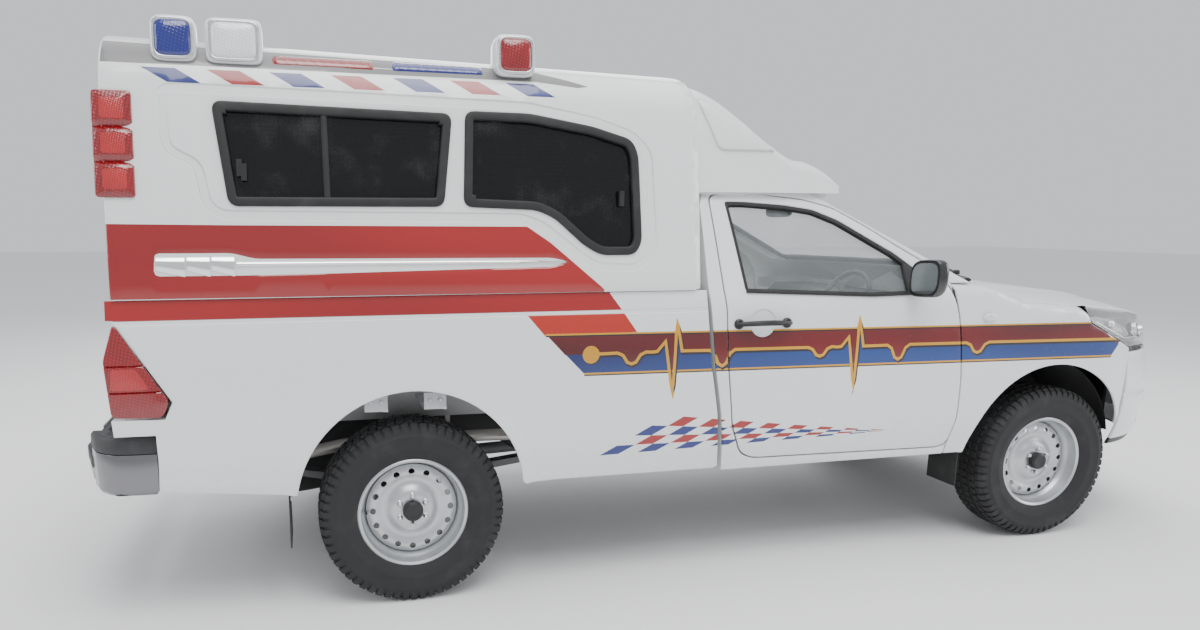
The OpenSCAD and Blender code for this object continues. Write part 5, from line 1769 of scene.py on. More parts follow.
@dataclass
class RoofLamps:
    """The six lamp pods and the slim light bars along both edges of the canopy's roof."""

    pods: tuple = ((-0.883, -0.730, "blue", 0.42), (-0.700, -0.504, "clear", 0.30),
                   (0.357, 0.515, "red", 0.42))
    bars: tuple = ((-0.476, -0.106, "orange"), (-0.040, 0.315, "blue"))

    def build(self, f: Finishes) -> None:
        """Makes the pods, their lenses and the bars.

        Args:
            f: The vehicle's finishes.
        """
        white, silver = Shape(), Shape()
        lenses = {"red": Shape(), "blue": Shape(), "clear": Shape(), "orange": Shape()}
        for low, high, colour, power in self.pods:
            self._pod(REAR_X + (low + high) / 2, (high - low) / 2, power, white, silver, lenses[colour])
        for low, high, colour in self.bars:
            self._bar(REAR_X + low, REAR_X + high, lenses[colour])
        finish_piece("lamp_pods", white.both_sides(), [f.shell], "body", ["lamp_housings"],
                     rounding=Rounding.SOFT)
        finish_piece("lamp_bezels", silver.both_sides(), [f.satin], "body",
                     rounding=Rounding.SOFT)
        finish_piece("red_lenses", lenses["red"].both_sides(), [f.lamp_red], "body",
                     ["red_beacons"], rounding=Rounding.SOFT)
        finish_piece("red_bars", lenses["orange"].both_sides(), [f.lamp_orange], "body")
        finish_piece("blue_lenses", lenses["blue"].both_sides(), [f.lamp_blue], "body",
                     ["blue_beacons"], rounding=Rounding.SOFT)
        finish_piece("clear_lenses", lenses["clear"].both_sides(), [f.lamp_clear], "body",
                     ["clear_beacons"], rounding=Rounding.SOFT)

    def _pod(self, x: float, wide: float, power: float, white: Shape, silver: Shape, lens: Shape) -> None:
        """One pod that looks outwards: a rounded white case, a bezel and a domed lens."""
        level, tall = 2.160, 0.080
        depth = ((0.570, 0.30), (0.580, 0.55), (0.605, 0.80), (0.645, 0.93), (0.70, 1.0), (0.748, 1.0),
                 (0.760, 0.97), (0.765, 0.90), (0.760, 0.84))
        rows = []
        for y, size in depth:
            rows.append([Vector((x + a * size, y - 0.10 * b * size, level + b * size))
                         for a, b in loop_of(wide, tall, power, 48)])
        white.loft(rows)
        ring = [Vector((x + a, 0.764 - 0.10 * b, level + b)) for a,
                b in loop_of(wide * 0.84, tall * 0.82, power, 48)]
        silver.tube(ring, 0.0075, 8, closed=True)
        rows = []
        for size, out in ((0.80, -0.012), (0.80, 0.004), (0.74, 0.012), (0.60, 0.016), (0.35, 0.019),
                          (0.08, 0.020)):
            rows.append([Vector((x + a * size, 0.760 + out - 0.10 * b * size, level + b * size))
                         for a, b in loop_of(wide, tall, power, 40)])
        lens.loft(rows)
        foot = [[Vector((x + a, 0.66 + b, z)) for a, b in loop_of(wide * s, 0.075 * s, 0.5, 32)]
                for z, s in ((2.06, 1.05), (2.085, 1.0), (2.11, 0.8), (2.13, 0.75))]
        white.loft(foot)

    def _bar(self, low: float, high: float, lens: Shape) -> None:
        """One slim bar with fine upright ribs that follows the roof's edge."""
        rows = []
        for x in np.linspace(low, high, 24):
            ends = min(1, (x - low) / 0.02 + 0.25, (high - x) / 0.02 + 0.25)
            row = []
            for t in np.linspace(0, 1, 9):
                z = 2.084 + 0.042 * t
                flat = canopy_flat(np.array([[x, z]]))
                at = canopy_surface(flat)[0]
                lift = 0.013 * math.sin(math.pi * t) ** 0.4 * ends - 0.006
                row.append(Vector(at) + Vector((0, lift * 0.75, lift * 0.65)))
            rows.append(row + [p - Vector((0, 0.010, 0.008)) for p in reversed(row)])
        lens.loft(rows)


def upright(x: float) -> Surface:
    """The upright plane across the vehicle at a place along it, from Y and Z."""
    return lambda p: np.stack([np.full(len(p), x), p[:, 0], p[:, 1]], 1)


def rectangle(low: tuple[float, float], high: tuple[float, float], radius: float = 0.01) -> Points:
    """A rectangle with rounded corners."""
    return soften(np.array([low, (high[0], low[1]), high, (low[0], high[1])]), radius, 4)


RIDGE = smooth_curve(mm([(-470, 1285), (-270, 1262), (-85, 1243), (165, 1212), (495, 1170), (700, 1130),
                         (830, 1075), (880, 1035)]))
SEAM = smooth_curve(mm([(-640, 1262), (-470, 1250), (-385, 1232), (-300, 1200), (-215, 1172), (-65, 1156),
                        (90, 1142), (300, 1122), (500, 1098), (700, 1062), (830, 1020), (880, 1000)]))
RAKE = mm([(430, 62), (480, 16), (530, 0), (560, 0), (740, 6), (860, 48), (930, 88), (1000, 120),
           (1060, 165), (1120, 260)])
RAKE_CURVE = smooth_curve(RAKE)
NOSE_X = 0.170
NOSE_L = 0.825
SEAM_IN = 0.096


def seam_z(x: np.ndarray) -> np.ndarray:
    """Height of the bonnet's side seam, by distance from the front axle."""
    return np.interp(x, SEAM[:, 0], SEAM[:, 1])


def plan_y(x: np.ndarray) -> np.ndarray:
    """Half width of the nose in plan, by distance from the front axle."""
    u = np.clip((x - NOSE_X) / (NOSE_L - 0.110), 0, 1)
    return HALF_W * np.sqrt(np.maximum(1 - u ** 2.6, 0))


def bonnet_y(x: np.ndarray) -> np.ndarray:
    """Half width of the bonnet, by distance from the front axle."""
    u = np.clip((x - 0.060) / 0.870, 0, 1)
    return (HALF_W - SEAM_IN) * np.sqrt(np.maximum(1 - u ** 3.2, 0.0))


def bonnet_surface(p: Points) -> Points:
    """The bonnet's skin, from X past the front axle and Y."""
    x = p[:, 0] - FRONT_X
    c = np.interp(x, RIDGE[:, 0], RIDGE[:, 1])
    u = np.abs(p[:, 1]) / np.maximum(bonnet_y(x), 0.01)
    return np.stack([p[:, 0], p[:, 1], c - (c - seam_z(x)) * np.minimum(u, 1.05) ** 2.2], 1)


def nose_surface(p: Points) -> Points:
    """The front of the vehicle, from the distance round it and the height."""
    t = p[:, 0] / HALF_W
    reach = NOSE_L - np.interp(p[:, 1], RAKE_CURVE[:, 0], RAKE_CURVE[:, 1])
    return np.stack([FRONT_X + NOSE_X + reach * np.maximum(np.cos(t), 0.0) ** 0.77,
                     side_y(p[:, 1]) * np.sin(t), p[:, 1]], 1)


ROLL = 0.090


def wing_surface(p: Points) -> Points:
    """The wing's skin: an upright wall whose shoulder rolls in to the bonnet's seam."""
    x, h = p[:, 0] - FRONT_X, p[:, 1]
    top = seam_z(x) - 0.001
    start = top - 0.040
    wall = plan_y(x) - (HALF_W - side_y(np.minimum(h, start)))
    turn = np.clip((h - start) / ROLL, 0, 1) * math.pi / 2
    inner = bonnet_y(x) + SHUT
    y = np.where(h <= start, wall, wall - (wall - inner) * (1 - np.cos(turn)))
    z = np.where(h <= start, h, start + (top - start) * np.sin(turn))
    return np.stack([p[:, 0], y, z], 1)


@dataclass
class Nose:
    """Wings, bonnet, bumper, grille and headlamps."""

    plate: tuple[float, float] = (0.44, 0.11)

    def build(self, f: Finishes, livery: Livery) -> None:
        """Makes the nose's pieces.

        Args:
            f: The vehicle's finishes.
            livery: Its painted stripes.
        """
        self._wings(f, livery)
        self._bonnet(f)
        self._bumper(f)
        self._grille(f)
        self._headlamps(f)

    def _wings(self, f: Finishes, livery: Livery) -> None:
        """Both wings with their stripes and arch lips.

        Args:
            f: The vehicle's finishes.
            livery: Its painted stripes.
        """
        back = mm([(-640, 1298), (-630, 1210), (-606, 1110), (-577, 840), (-571, 640), (-592, 512),
                   (-592, 462),
                   (-492, 462)], FRONT_X)
        mouth = arc(ARCH["front"], 174, 17)
        front = mm([(393, 560), (393, 930), (385, 938), (265, 994), (130, 1062), (92, 1130), (88, 1190)],
                   FRONT_X)
        x = np.linspace(0.08, -0.63, 24)
        top = np.stack([x + FRONT_X, seam_z(x) + ROLL - 0.041], 1)
        lip = Relief(arc(ARCH["front"], 178, 12), False, [(0.0, -0.004), (0.014, -0.004), (0.032, 0.0)])
        skin = Skin("wing", np.vstack([back, mouth, front, top]), wing_surface, reliefs=[lip], edge=0.003,
                    patches=livery.patches(FRONT_X - 0.65, FRONT_X + 0.4, lambda p: p), gap=0.03)
        finish_piece("front_wings", skin.cut(Shape()).both_sides(), livery.finishes(f, f.white), "body",
                     ["front_fenders"])
        lamp = Shape()
        place = Matrix.Translation((FRONT_X - 0.455, float(side_y(1.03)) - 0.001, 1.105))
        lamp.disc([(0, 0), (0.020, 0), (0.020, 0.006), (0.014, 0.012), (0, 0.014)],
                  place @ Matrix.Rotation(-math.pi / 2, 4, "X") @ Matrix.Scale(1.7, 4, (1, 0, 0)), 32)
        finish_piece("wing_repeaters", lamp.both_sides(), [f.lamp_clear], "body")

    def _bonnet(self, f: Finishes) -> None:
        """The bonnet with two raised folds.

        Args:
            f: The vehicle's finishes.
        """
        u = np.linspace(-1, 1, 41)
        rear_x = -0.215 - 0.19 * u ** 2
        rear = np.stack([rear_x + FRONT_X, u * bonnet_y(rear_x)], 1)
        side_x = np.linspace(-0.40, 0.755, 40)
        side = np.stack([side_x + FRONT_X, bonnet_y(side_x)], 1)
        lead_x = 0.85 - 0.09 * u ** 2
        lead = np.stack([lead_x + FRONT_X, u * bonnet_y(lead_x)], 1)
        outline = np.vstack([rear, side[1:-1], lead[::-1], side[-2:0:-1] * [1, -1]])
        folds = [Relief(np.array([(-0.16, 0.52 * s), (0.30, 0.42 * s), (0.62, 0.33 * s), (0.76, 0.27 * s)])
                        + [FRONT_X, 0], False, [(0.0, -0.007), (0.018, -0.004), (0.06, 0.0)]) for s in (1,
                                                                                                        -1)]
        skin = Skin("bonnet", outline, bonnet_surface, reliefs=folds, gap=0.035, edge=0.004)
        finish_piece("bonnet_skin", skin.cut(Shape()), [f.white], "bonnet", ["bonnet"])
        core_piece("bonnet", f.white, "bonnet", inset=0.008)

    def _bumper(self, f: Finishes) -> None:
        """The bumper with its air intake, fog lamps, joint line, dark chin and blank plate.

        Args:
            f: The vehicle's finishes.
        """
        outline = np.array([(-1.235, 0.440), (1.235, 0.440), (1.235, 0.914), (-1.235, 0.914)])
        intake = rectangle((-0.46, 0.560), (0.46, 0.675), 0.03)
        chin = Patch(rectangle((-1.3, 0.40), (1.3, 0.470), 0.005), 1)
        fog_at = 0.80
        reliefs = [Relief(np.array([(-1.25, 0.705), (-0.62, 0.690), (0.62, 0.690), (1.25, 0.705)]), False,
                          [(0.0, 0.005), (0.003, 0.004), (0.012, 0.0)])]
        patches = [chin]
        lamps, rings = Shape(), Shape()
        for s in (1, -1):
            ring = soften(np.array([(s * 0.62, 0.535), (s * 0.98, 0.520), (s * 1.00, 0.640),
                                    (s * 0.64, 0.665)]),
                          0.04, 4)
            reliefs.append(Relief(ring, True, [(0.0, 0.0), (0.012, 0.012), (0.03, 0.022)]))
            patches.append(Patch(ring, 1))
            at = nose_surface(np.array([[s * fog_at, 0.59]]))[0]
            out = Vector((math.cos(fog_at / HALF_W), s * math.sin(fog_at / HALF_W), 0))
            place = Matrix.Translation(Vector(at) - out * 0.030) @ out.to_track_quat("Z",
                                                                                     "Y").to_matrix().to_4x4()
            lamps.disc([(0, 0), (0.040, 0), (0.040, 0.014), (0.030, 0.022), (0.015, 0.026), (0, 0.027)],
                       place, 36)
            rings.lathe([(0.040, 0.0), (0.052, 0.0), (0.052, 0.012), (0.046, 0.020), (0.040, 0.014)], place,
                        36)
        skin = Skin("bumper", outline, nose_surface, holes=[intake], patches=patches, reliefs=reliefs,
                    thickness=0.014, gap=0.035, edge=0.005)
        finish_piece("front_bumper_skin", skin.cut(Shape()), [f.white, f.black], "body",
                     ["front_bumper"])
        back = Skin("mesh", rectangle((-0.52, 0.53), (0.52, 0.705), 0.01), sunk(nose_surface, 0.05),
                    thickness=0.006, gap=0.08, edge=0.002).cut(Shape())
        for z in (0.582, 0.606, 0.630, 0.654):
            along = np.stack([np.linspace(-0.50, 0.50, 41), np.full(41, z)], 1)
            back.tube([Vector(p) for p in sunk(nose_surface, 0.026)(along)], 0.006, 6)
        finish_piece("intake_mesh", back, [f.black], "body")
        finish_piece("fog_lamps", lamps, [f.lamp_clear], "body", rounding=Rounding.SOFT)
        finish_piece("fog_rings", rings, [f.gloss_black], "body")
        wide, tall = self.plate
        x = float(nose_surface(np.array([[0.0, 0.76]]))[0, 0])
        front = Skin("plate", rectangle((-wide / 2, 0.76 - tall / 2), (wide / 2, 0.76 + tall / 2), 0.012),
                     upright(x + 0.018), thickness=0.004, gap=0.08, edge=0.0015).cut(Shape())
        rear = Skin("plate", rectangle((-wide / 2, 0.600 - tall / 2), (wide / 2, 0.600 + tall / 2), 0.012),
                    upright(REAR_X - 1.262), thickness=0.004, gap=0.08, edge=0.0015).cut(Shape())
        front.block((x - 0.02, -0.2, 0.725), (x + 0.0145, 0.2, 0.795))
        finish_piece("blank_plates", front.join(rear), [f.lining], "body")

    def _grille(self, f: Finishes) -> None:
        """A bright surround, thin bars and a dark mesh behind them.

        Args:
            f: The vehicle's finishes.
        """
        half = 33 * math.pi / 180 * HALF_W
        outline = rectangle((-half, 0.921), (half, 1.028), 0.014)
        shape = Skin("surround", outline, nose_surface, holes=[grown(outline, -0.020)], thickness=0.022,
                     gap=0.04, edge=0.006).cut(Shape())
        for z in (0.957, 0.974, 0.991):
            along = np.stack([np.linspace(-half + 0.012, half - 0.012, 61), np.full(61, z)], 1)
            shape.tube([Vector(p) for p in sunk(nose_surface, 0.012)(along)], 0.0055, 8, flat=1.3)
        finish_piece("grille_bars", shape, [f.chrome], "body", ["grille"])
        back = Skin("mesh", grown(outline, -0.004), sunk(nose_surface, 0.030), thickness=0.006, gap=0.08,
                    edge=0.002).cut(Shape())
        finish_piece("grille_mesh", back, [f.black], "body")

    def _lamp_point(self, s: float, v: float, depth: float) -> Vector:
        """A place on a headlamp: s runs forward, v down and depth into the lamp."""
        x = 0.096 + 0.690 * s
        top = Vector((FRONT_X + x, float(bonnet_y(x)) + SHUT + 0.002, float(seam_z(x)) - 0.004))
        x = 0.092 + 0.720 * s
        z = float(np.interp(x, [0.088, 0.130, 0.265, 0.385, 0.470],
                            [1.136, 1.062, 0.994, 0.938, 0.916])) + 0.005
        if s < 0.42:
            low = Vector((FRONT_X + x, float(plan_y(x)) - (HALF_W - float(side_y(z))) - 0.001, z))
        else:
            low = Vector(nose_surface(np.array([[math.radians(86 - 50 * s) * HALF_W, z]]))[0])
        k = 0.014 * math.sin(math.pi * v)
        turn = math.radians(80 * s)
        into = Vector((-math.sin(turn), -math.cos(turn), 0.1)) * v + Vector((0, -0.1, -1)) * (1 - v)
        return top.lerp(low, v) + Vector((k, k, k * 0.6)) + into * min(depth, 0.009 + 0.4 * s)

    def _headlamps(self, f: Finishes) -> None:
        """Swept-back lamps: a clear cover over a dark bowl with a projector, a reflector and a side light.

        Args:
            f: The vehicle's finishes.
        """
        cover, bowl, lens, bright = Shape(), Shape(), Shape(), Shape()
        s_values, v_values = np.linspace(0, 1, 49), np.linspace(0, 1, 13)

        def sheet(near: float, far: float, target: Shape, trim: float = 0.0) -> None:
            """Adds a closed sheet between two depths."""
            rows = []
            for s in trim + (1 - 2 * trim) * s_values:
                front = [self._lamp_point(s, trim + (1 - 2 * trim) * v, near) for v in v_values]
                back = [self._lamp_point(s, trim + (1 - 2 * trim) * v, far) for v in v_values]
                rows.append(front + back[::-1])
            target.loft(rows)
        sheet(0.0, 0.003, cover)
        sheet(0.040, 0.046, bowl)
        rim = [(s, 0.0) for s in s_values[:-1]] + [(1.0, v) for v in v_values[:-1]]
        rim += [(s, 1.0) for s in s_values[:0:-1]] + [(0.0, v) for v in v_values[:0:-1]]
        rows = []
        for s, v in rim:
            inner_s, inner_v = 0.5 + (s - 0.5) * 0.985, 0.5 + (v - 0.5) * 0.93
            rows.append([self._lamp_point(s, v, 0.003), self._lamp_point(s, v, 0.044),
                         self._lamp_point(inner_s, inner_v, 0.044), self._lamp_point(inner_s, inner_v,
                                                                                     0.006)])
        bowl.grid(rows + [rows[0]], closed=True)
        for s, v, radius, deep in ((0.47, 0.52, 0.036, 0.030), (0.70, 0.52, 0.034, 0.034),
                                   (0.28, 0.52, 0.020, 0.026)):
            at = self._lamp_point(s, v, deep)
            turn = math.radians(28 + 30 * (1 - s))
            out = Vector((math.cos(turn), math.sin(turn), 0.05))
            place = Matrix.Translation(at) @ out.to_track_quat("Z", "Y").to_matrix().to_4x4()
            lens.disc([(0, -0.01), (radius * 0.86, -0.01), (radius * 0.86, 0.002), (radius * 0.6, 0.010),
                       (0, 0.014)],
                      place, 32)
            bright.lathe([(radius * 0.86, -0.012), (radius, -0.012), (radius * 1.08, 0.004),
                          (radius * 0.96, 0.006)],
                         place, 32)
        line = [self._lamp_point(s, 0.80, 0.024) for s in np.linspace(0.12, 0.93, 30)]
        bright.tube(line, 0.004, 8)
        finish_piece("headlamp_covers", cover.both_sides(), [f.cover], "body", ["headlamps"],
                     rounding=Rounding.SOFT)
        finish_piece("headlamp_bowls", bowl.both_sides(), [f.gloss_black], "body")
        finish_piece("headlamp_lenses", lens.both_sides(), [f.lamp_clear], "body",
                     rounding=Rounding.SOFT)
        finish_piece("headlamp_rings", bright.both_sides(), [f.chrome], "body",
                     rounding=Rounding.SOFT)


@dataclass
class Tail:
    """Tailgate, hatch, lamps and step bumper."""

    gate_half: float = 0.716
    band_top: float = 1.515

    def hatch(self, spread: float) -> Points:
        """The hatch's outline in Y and Z, made larger by a distance."""
        return soften(np.array([(-0.700 - spread, 1.258 - spread), (-0.640 - spread, 2.050 + spread),
                                (0.640 + spread, 2.050 + spread), (0.700 + spread, 1.258 - spread)]), 0.04, 4)

    def window(self, spread: float) -> Points:
        """The hatch window's outline, made larger by a distance."""
        return soften(np.array([(-0.600 - spread, 1.330 - spread), (-0.560 - spread, 1.950 + spread),
                                (0.560 + spread, 1.950 + spread), (0.600 + spread,
                                                                   1.330 - spread)]), 0.045, 5)

    def build(self, f: Finishes, repeater: Repeater) -> None:
        """Makes the tail's pieces.

        Args:
            f: The vehicle's finishes.
            repeater: Repeats small pieces.
        """
        self._wall(f)
        self._hatch(f, repeater)
        self._gate(f)
        self._low_lamps(f)
        self._high_lamps(f)
        self._bumper(f, repeater)

    def _wall(self, f: Finishes) -> None:
        """The canopy's rear wall round the hatch, with the end of the red band.

        Args:
            f: The vehicle's finishes.
        """
        s = np.linspace(0.002, 2 * CANOPY_SECTION.full - 0.002, 90)
        edge = canopy_surface(np.stack([np.full(90, TAIL_X), s], 1))[:, 1:]
        band = Patch(rectangle((-1, 1.0), (1, self.band_top), 0.002), 1)
        wall = Skin("wall", grown(edge, -0.003), upright(TAIL_X - 0.002), holes=[self.hatch(0.006)],
                    patches=[band], thickness=0.014, edge=0.003, gap=0.08, centre=(REAR_X, 0, 1.5))
        finish_piece("canopy_tail_wall", wall.cut(Shape()), [f.shell, f.red], "body")

    def _hatch(self, f: Finishes, repeater: Repeater) -> None:
        """The hatch's skin, its glass in rubber, its handle, its hinges and its hinge bolts.

        Args:
            f: The vehicle's finishes.
            repeater: Repeats small pieces.
        """
        x = TAIL_X - 0.014
        low = Patch(rectangle((-0.75, 1.2), (0.75, self.band_top), 0.002), 1)
        ledge = Relief(rectangle((-0.16, 1.275), (0.16, 1.318), 0.008), True, [(0.0, 0.0), (0.006, 0.006)])
        skin = Skin("hatch", self.hatch(0.0), upright(x - 0.001), holes=[self.window(0.0)], patches=[low],
                    reliefs=[ledge], thickness=0.010, gap=0.06, edge=0.004, centre=(REAR_X, 0, 1.5))
        finish_piece("rear_hatch_skin", skin.cut(Shape()), [f.shell, f.red], "rear_hatch",
                     ["rear_hatch"])
        core_piece("rear_hatch", f.shell, "rear_hatch")
        rubber = Skin("frame", self.window(0.010), upright(x - 0.008), holes=[self.window(-0.022)],
                      thickness=0.022, gap=0.05, edge=0.006, centre=(REAR_X, 0, 1.5)).cut(Shape())
        finish_piece("hatch_rubber", rubber, [f.seal], "rear_hatch", rounding=Rounding.SOFT)
        pane = Skin("pane", self.window(-0.010), upright(x + 0.006), thickness=0.005, gap=0.1, edge=0.0015,
                    centre=(REAR_X, 0, 1.5)).cut(Shape())
        finish_piece("hatch_pane", pane, [f.tint], "rear_hatch", ["hatch_glass"])
        handle = Shape()
        handle.tube([Vector((x - 0.004, -0.07, 1.295)), Vector((x - 0.030, -0.055, 1.295)),
                     Vector((x - 0.034, 0, 1.295)), Vector((x - 0.030, 0.055, 1.295)),
                     Vector((x - 0.004, 0.07, 1.295))], [0.010, 0.010, 0.011, 0.010, 0.010], 12, flat=0.7)
        for s in (1, -1):
            place = Matrix.Translation((x - 0.003, s * 0.115, 1.295)) @ Matrix.Rotation(-math.pi / 2, 4, "Y")
            handle.disc([(0, 0), (0.013, 0), (0.013, 0.004), (0.009, 0.008), (0, 0.008)], place, 20)
        finish_piece("hatch_handle", handle, [f.black], "rear_hatch")
        hinges = Shape()
        head = Shape()
        face = Matrix.Rotation(-math.pi / 2, 4, "Y")
        head.disc([(0, 0), (0.008, 0), (0.008, 0.004), (0.005, 0.006), (0, 0.006)], face, 12)
        for s in (1, -1):
            hinges.block((x - 0.010, s * 0.385 - 0.028, 1.985), (x - 0.001, s * 0.385 + 0.028, 2.044))
            place = (x - 0.010, s * 0.385 - 0.015, 2.008)
            hinges.join(repeater.make(head, 2, f.satin, 0, step=(0, 0.030, 0), place=place))
        finish_piece("hatch_hinges", hinges, [f.satin], "rear_hatch", bevel=0.0015)

    def _gate(self, f: Finishes) -> None:
        """The tailgate's skin with its pressings and handle.

        Args:
            f: The vehicle's finishes.
        """
        x = TAIL_X - 0.025
        outline = rectangle((-self.gate_half, 0.709), (self.gate_half, 1.247), 0.018)
        panel = Relief(rectangle((-0.60, 0.775), (0.60, 1.085), 0.05), True, [(0.0, 0.0), (0.02, 0.007)])
        cup = Relief(rectangle((-0.105, 1.118), (0.105, 1.205), 0.02), True, [(0.0, 0.0), (0.010, 0.010)])
        band = Patch(rectangle((-0.8, 1.171), (0.8, 1.27), 0.002), 1)
        skin = Skin("gate", outline, upright(x), reliefs=[panel, cup], patches=[band], thickness=0.020,
                    gap=0.05, edge=0.006)
        finish_piece("tailgate_skin", skin.cut(Shape()), [f.white, f.red], "tailgate",
                     ["tailgate"])
        core_piece("tailgate", f.white, "tailgate", inset=0.004)
        pull = Shape()
        rows = [[Vector((x + out, a * size, 1.162 + b * size)) for a, b in loop_of(0.080, 0.026, 0.4, 32)]
                for out, size in ((0.008, 1.0), (-0.002, 1.0), (-0.008, 0.9), (-0.010, 0.6))]
        pull.loft(rows)
        finish_piece("gate_handle", pull, [f.black], "tailgate")

    def _low_lamps(self, f: Finishes) -> None:
        """Tall lamps at the bed's corners, with a pale middle and dark edges.

        Args:
            f: The vehicle's finishes.
        """
        outline = soften(mm([(-1052, 1172), (-880, 884), (-905, 828), (-1076, 834), (-1091, 1040)], REAR_X),
                         0.02, 3)
        white = soften(mm([(-1066, 1010), (-985, 1010), (-940, 935), (-1072, 935)], REAR_X), 0.012, 3)
        steps = [Relief(mm([(-1100, 1020), (-860, 1020)], REAR_X), False, [(0.0, 0.006), (0.004, 0.0)]),
                 Relief(mm([(-1100, 925), (-850, 925)], REAR_X), False, [(0.0, 0.006), (0.004, 0.0)]),
                 Relief(outline, True, [(0.0, 0.0), (0.012, -0.004), (0.04, -0.007)])]
        lens = Skin("lamp", outline, sunk(bed_surface, -0.001), reliefs=steps, patches=[Patch(white, 1)],
                    thickness=0.024, gap=0.02, edge=0.004).cut(Shape())
        finish_piece("tail_lamp_lenses", lens.both_sides(), [f.lamp_red, f.lamp_deep], "body",
                     ["tail_lamps"], rounding=Rounding.SOFT)

    def _high_lamps(self, f: Finishes) -> None:
        """Upright lamps on the canopy's corners, in three bulging sections.

        Args:
            f: The vehicle's finishes.
        """
        outline = rectangle((REAR_X - 1.078, 1.606), (REAR_X - 0.948, 1.970), 0.016)
        flat = canopy_flat(densify(outline, 0.03))
        lines = [canopy_flat(np.array([[REAR_X - 1.10, z], [REAR_X - 0.93, z]])) for z in (1.728, 1.848)]
        steps = [Relief(line, False, [(0.0, 0.018), (0.006, 0.012), (0.02, 0.002),
                                      (0.045, 0.0)]) for line in lines]
        steps.append(Relief(flat, True, [(0.0, 0.010), (0.014, 0.002), (0.045, -0.004)]))
        cells = [canopy_flat(rectangle((REAR_X - 1.050, z), (REAR_X - 0.972, z + 0.070), 0.012))
                 for z in (1.632, 1.754, 1.872)]
        lens = Skin("lamp", flat, sunk(canopy_surface, -0.016), reliefs=steps,
                    patches=[Patch(cell, 1) for cell in cells], thickness=0.022, gap=0.018, edge=0.006,
                    centre=(REAR_X, 0, 1.5)).cut(Shape())
        finish_piece("canopy_lamp_lenses", lens.both_sides(), [f.lamp_red, f.lamp_deep], "body",
                     ["canopy_lamps"], rounding=Rounding.SOFT)

    def _bumper(self, f: Finishes, repeater: Repeater) -> None:
        """The step bumper: dark ribbed treads, dark caps and bright lower faces.

        Args:
            f: The vehicle's finishes.
            repeater: Repeats small pieces.
        """
        back = REAR_X - 1.255
        step = soften(np.array([(back, -0.52), (back, 0.52), (back + 0.06, 0.72), (REAR_X - 1.11, 0.72),
                                (REAR_X - 1.11, -0.72), (back + 0.06, -0.72)]), 0.02, 3)
        shape = Shape()
        bright = Shape()
        for low, high, target, grow in ((0.606, 0.648, shape, 0.0), (0.562, 0.606, bright, -0.004)):
            ring = grown(step, grow)
            target.loft([[Vector((a, b, z)) for a, b in ring] for z in (low, high)])
        corner = np.array([(REAR_X - 1.190, 0.719), (REAR_X - 1.156, 0.800), (REAR_X - 1.120, 0.838),
                           (REAR_X - 1.080, 0.862), (REAR_X - 1.020, 0.871), (REAR_X - 0.939, 0.874),
                           (REAR_X - 0.939, 0.852), (REAR_X - 1.076, 0.845), (REAR_X - 1.115, 0.790),
                           (REAR_X - 1.115, 0.719)])
        for target, levels in ((shape, ((0.690, 0.0), (0.700, 0.003), (0.742, 0.001), (0.754, -0.006))),
                               (bright, ((0.532, -0.010), (0.545, -0.002), (0.600, 0.0), (0.688, 0.001)))):
            rows = [[Vector((a, b, z)) for a, b in grown(corner, grow)] for z, grow in levels]
            left = Shape()
            left.loft(rows)
            target.join(left.both_sides())
        rib = Shape()
        rib.block((-0.045, -0.004, 0), (0.045, 0.004, 0.004))
        ribs = repeater.make(rib, 44, f.black, 0, step=(0, 0.024, 0), place=(REAR_X - 1.185, -0.516, 0.648))
        shape.join(ribs)
        finish_piece("bumper_treads", shape, [f.grained], "body", ["rear_bumper"],
                     bevel=0.0015)
        finish_piece("bumper_faces", bright, [f.dark_chrome], "body", bevel=0.003)


